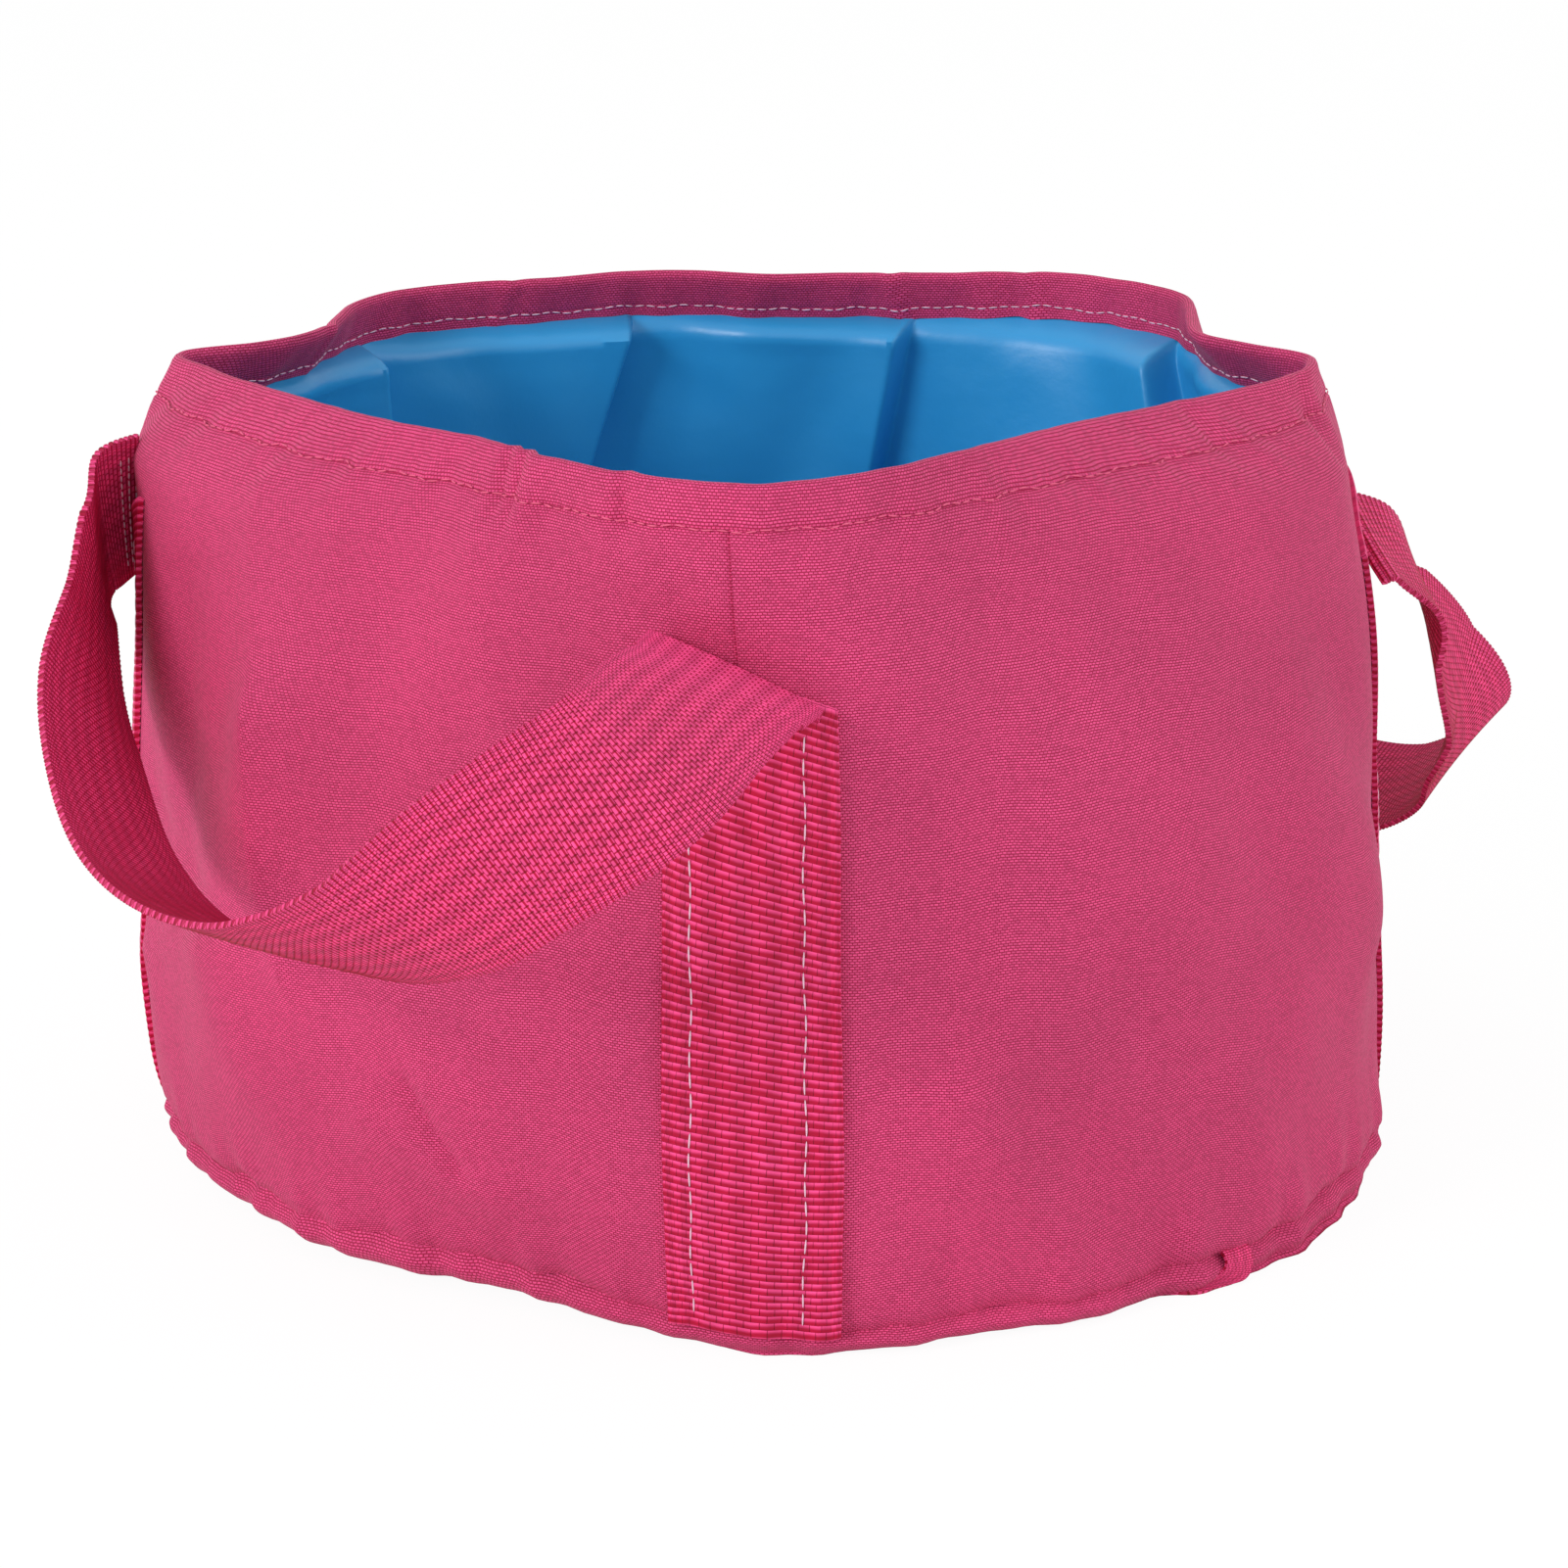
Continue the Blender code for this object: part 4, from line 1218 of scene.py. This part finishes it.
class BUCKET_OT_strips(bpy.types.Operator):
    """Build the four webbing strips and their stitches"""

    bl_idname = "bucket.strips"
    bl_label = "Webbing strips"

    def execute(self, context):
        for name, azimuth, rising, lowered in STRIPS:
            build_strip(name, azimuth, rising, lowered)
        return {"FINISHED"}


class BUCKET_OT_loops(bpy.types.Operator):
    """Build the two handle loops, their ends and bartacks, and the base pull loop"""

    bl_idname = "bucket.loops"
    bl_label = "Handle loops"

    def execute(self, context):
        left = build_loop("left", LEFT_LOOP_SHARES, "front", "side")
        right = build_loop("right", RIGHT_LOOP_SHARES, "side", "back")
        bartack("left_side_bartack", left, "left_anchors")
        bartack("right_back_bartack", right, "right_anchors")
        build_pull_loop()
        return {"FINISHED"}


class BUCKET_OT_stage(bpy.types.Operator):
    """Set the floor, the lights, the world and the camera"""

    bl_idname = "bucket.stage"
    bl_label = "Stage"

    def execute(self, context):
        build_floor()
        build_world()
        add_area_light("key_light", (-1.5, -1.3, 0.95), size=0.8, power=22.0)
        add_area_light("fill_light", (1.7, -0.7, 0.7), size=1.4, power=9.0)
        set_camera()
        context.scene.view_settings.view_transform = "Standard"
        return {"FINISHED"}


def build_floor():
    """A plain pale floor that reads white and keeps the bucket's shadow."""
    deselect()
    bpy.ops.mesh.primitive_plane_add(size=8.0, location=(0.0, 0.0, 0.0))
    floor = bpy.context.object
    floor.name = "floor"
    paper = bpy.data.materials.new("pale_floor")
    paper.use_nodes = True
    tree = paper.node_tree
    matt = tree.nodes["Principled BSDF"]
    matt.inputs["Base Color"].default_value = (0.90, 0.90, 0.90, 1.0)
    matt.inputs["Roughness"].default_value = 0.9
    matt.inputs["Specular IOR Level"].default_value = 0.0
    glow = tree.nodes.new("ShaderNodeEmission")
    glow.inputs["Strength"].default_value = 1.02
    mixed = tree.nodes.new("ShaderNodeMixShader")
    seen = tree.nodes.new("ShaderNodeLightPath")
    share = tree.nodes.new("ShaderNodeMath")
    share.operation = "MULTIPLY"
    share.inputs[1].default_value = 0.92
    tree.links.new(seen.outputs["Is Camera Ray"], share.inputs[0])
    tree.links.new(share.outputs[0], mixed.inputs["Fac"])
    tree.links.new(matt.outputs["BSDF"], mixed.inputs[1])
    tree.links.new(glow.outputs["Emission"], mixed.inputs[2])
    tree.links.new(mixed.outputs["Shader"], tree.nodes["Material Output"].inputs["Surface"])
    floor.data.materials.append(paper)


def build_world():
    """An even pale light from all round, seen as white."""
    world = bpy.data.worlds.new("pale_room")
    bpy.context.scene.world = world
    world.use_nodes = True
    tree = world.node_tree
    lit = tree.nodes["Background"]
    lit.inputs["Color"].default_value = (1.0, 1.0, 1.0, 1.0)
    lit.inputs["Strength"].default_value = 0.78
    shown = tree.nodes.new("ShaderNodeBackground")
    shown.inputs["Color"].default_value = (1.0, 1.0, 1.0, 1.0)
    seen = tree.nodes.new("ShaderNodeLightPath")
    white = seen.outputs["Is Camera Ray"]
    for ray in ("Is Glossy Ray", "Is Transmission Ray"):
        either = tree.nodes.new("ShaderNodeMath")
        either.operation = "MAXIMUM"
        tree.links.new(white, either.inputs[0])
        tree.links.new(seen.outputs[ray], either.inputs[1])
        white = either.outputs[0]
    mixed = tree.nodes.new("ShaderNodeMixShader")
    tree.links.new(white, mixed.inputs["Fac"])
    tree.links.new(lit.outputs["Background"], mixed.inputs[1])
    tree.links.new(shown.outputs["Background"], mixed.inputs[2])
    tree.links.new(mixed.outputs["Shader"], tree.nodes["World Output"].inputs["Surface"])


def add_area_light(name, spot, size, power):
    """A soft square light that looks at the bucket."""
    lamp = bpy.data.lights.new(name, "AREA")
    lamp.size = size
    lamp.energy = power
    light = bpy.data.objects.new(name, lamp)
    light.location = spot
    light.rotation_euler = (Vector((0.0, 0.0, 0.1)) - Vector(spot)).to_track_quat(
        "-Z", "Y").to_euler()
    bpy.context.scene.collection.objects.link(light)


def set_camera():
    """The photograph's view: level with the front strip and a little above."""
    aim = Vector(CAMERA_AIM)
    fall = math.radians(CAMERA_FALL)
    spot = aim + CAMERA_DISTANCE * Vector((0.0, -math.cos(fall), math.sin(fall)))
    lens = bpy.data.cameras.new("camera")
    lens.lens = CAMERA_LENS
    lens.sensor_width = 36.0
    camera = bpy.data.objects.new("camera", lens)
    camera.location = spot
    camera.rotation_euler = (aim - spot).to_track_quat("-Z", "Y").to_euler()
    bpy.context.scene.collection.objects.link(camera)
    bpy.context.scene.camera = camera


class BUCKET_PT_panel(bpy.types.Panel):
    """Lists the steps that build the bucket"""

    bl_label = "Camp Bucket"
    bl_idname = "BUCKET_PT_panel"
    bl_space_type = "VIEW_3D"
    bl_region_type = "UI"
    bl_category = "Bucket"

    def draw(self, context):
        for group in (context.scene.bucket_sizes, context.scene.bucket_colours):
            for key in group.__annotations__:
                self.layout.prop(group, key)
        for step in STEPS:
            self.layout.operator(f"bucket.{step}")


STEPS = ("materials", "shell", "hem", "liner", "strips", "loops", "stage")
CLASSES = (BucketSizes, BucketColours, BUCKET_OT_materials, BUCKET_OT_shell, BUCKET_OT_hem,
           BUCKET_OT_liner, BUCKET_OT_strips, BUCKET_OT_loops, BUCKET_OT_stage, BUCKET_PT_panel)


def register():
    """Make the classes and the scene's sizes and colours known."""
    for made in CLASSES:
        bpy.utils.register_class(made)
    bpy.types.Scene.bucket_sizes = PointerProperty(type=BucketSizes)
    bpy.types.Scene.bucket_colours = PointerProperty(type=BucketColours)


def unregister():
    """Take them away again."""
    del bpy.types.Scene.bucket_colours
    del bpy.types.Scene.bucket_sizes
    for made in reversed(CLASSES):
        bpy.utils.unregister_class(made)


def main():
    """Build the bucket and its stage."""
    register()
    for step in STEPS:
        getattr(bpy.ops.bucket, step)()


if __name__ == "__main__":
    main()
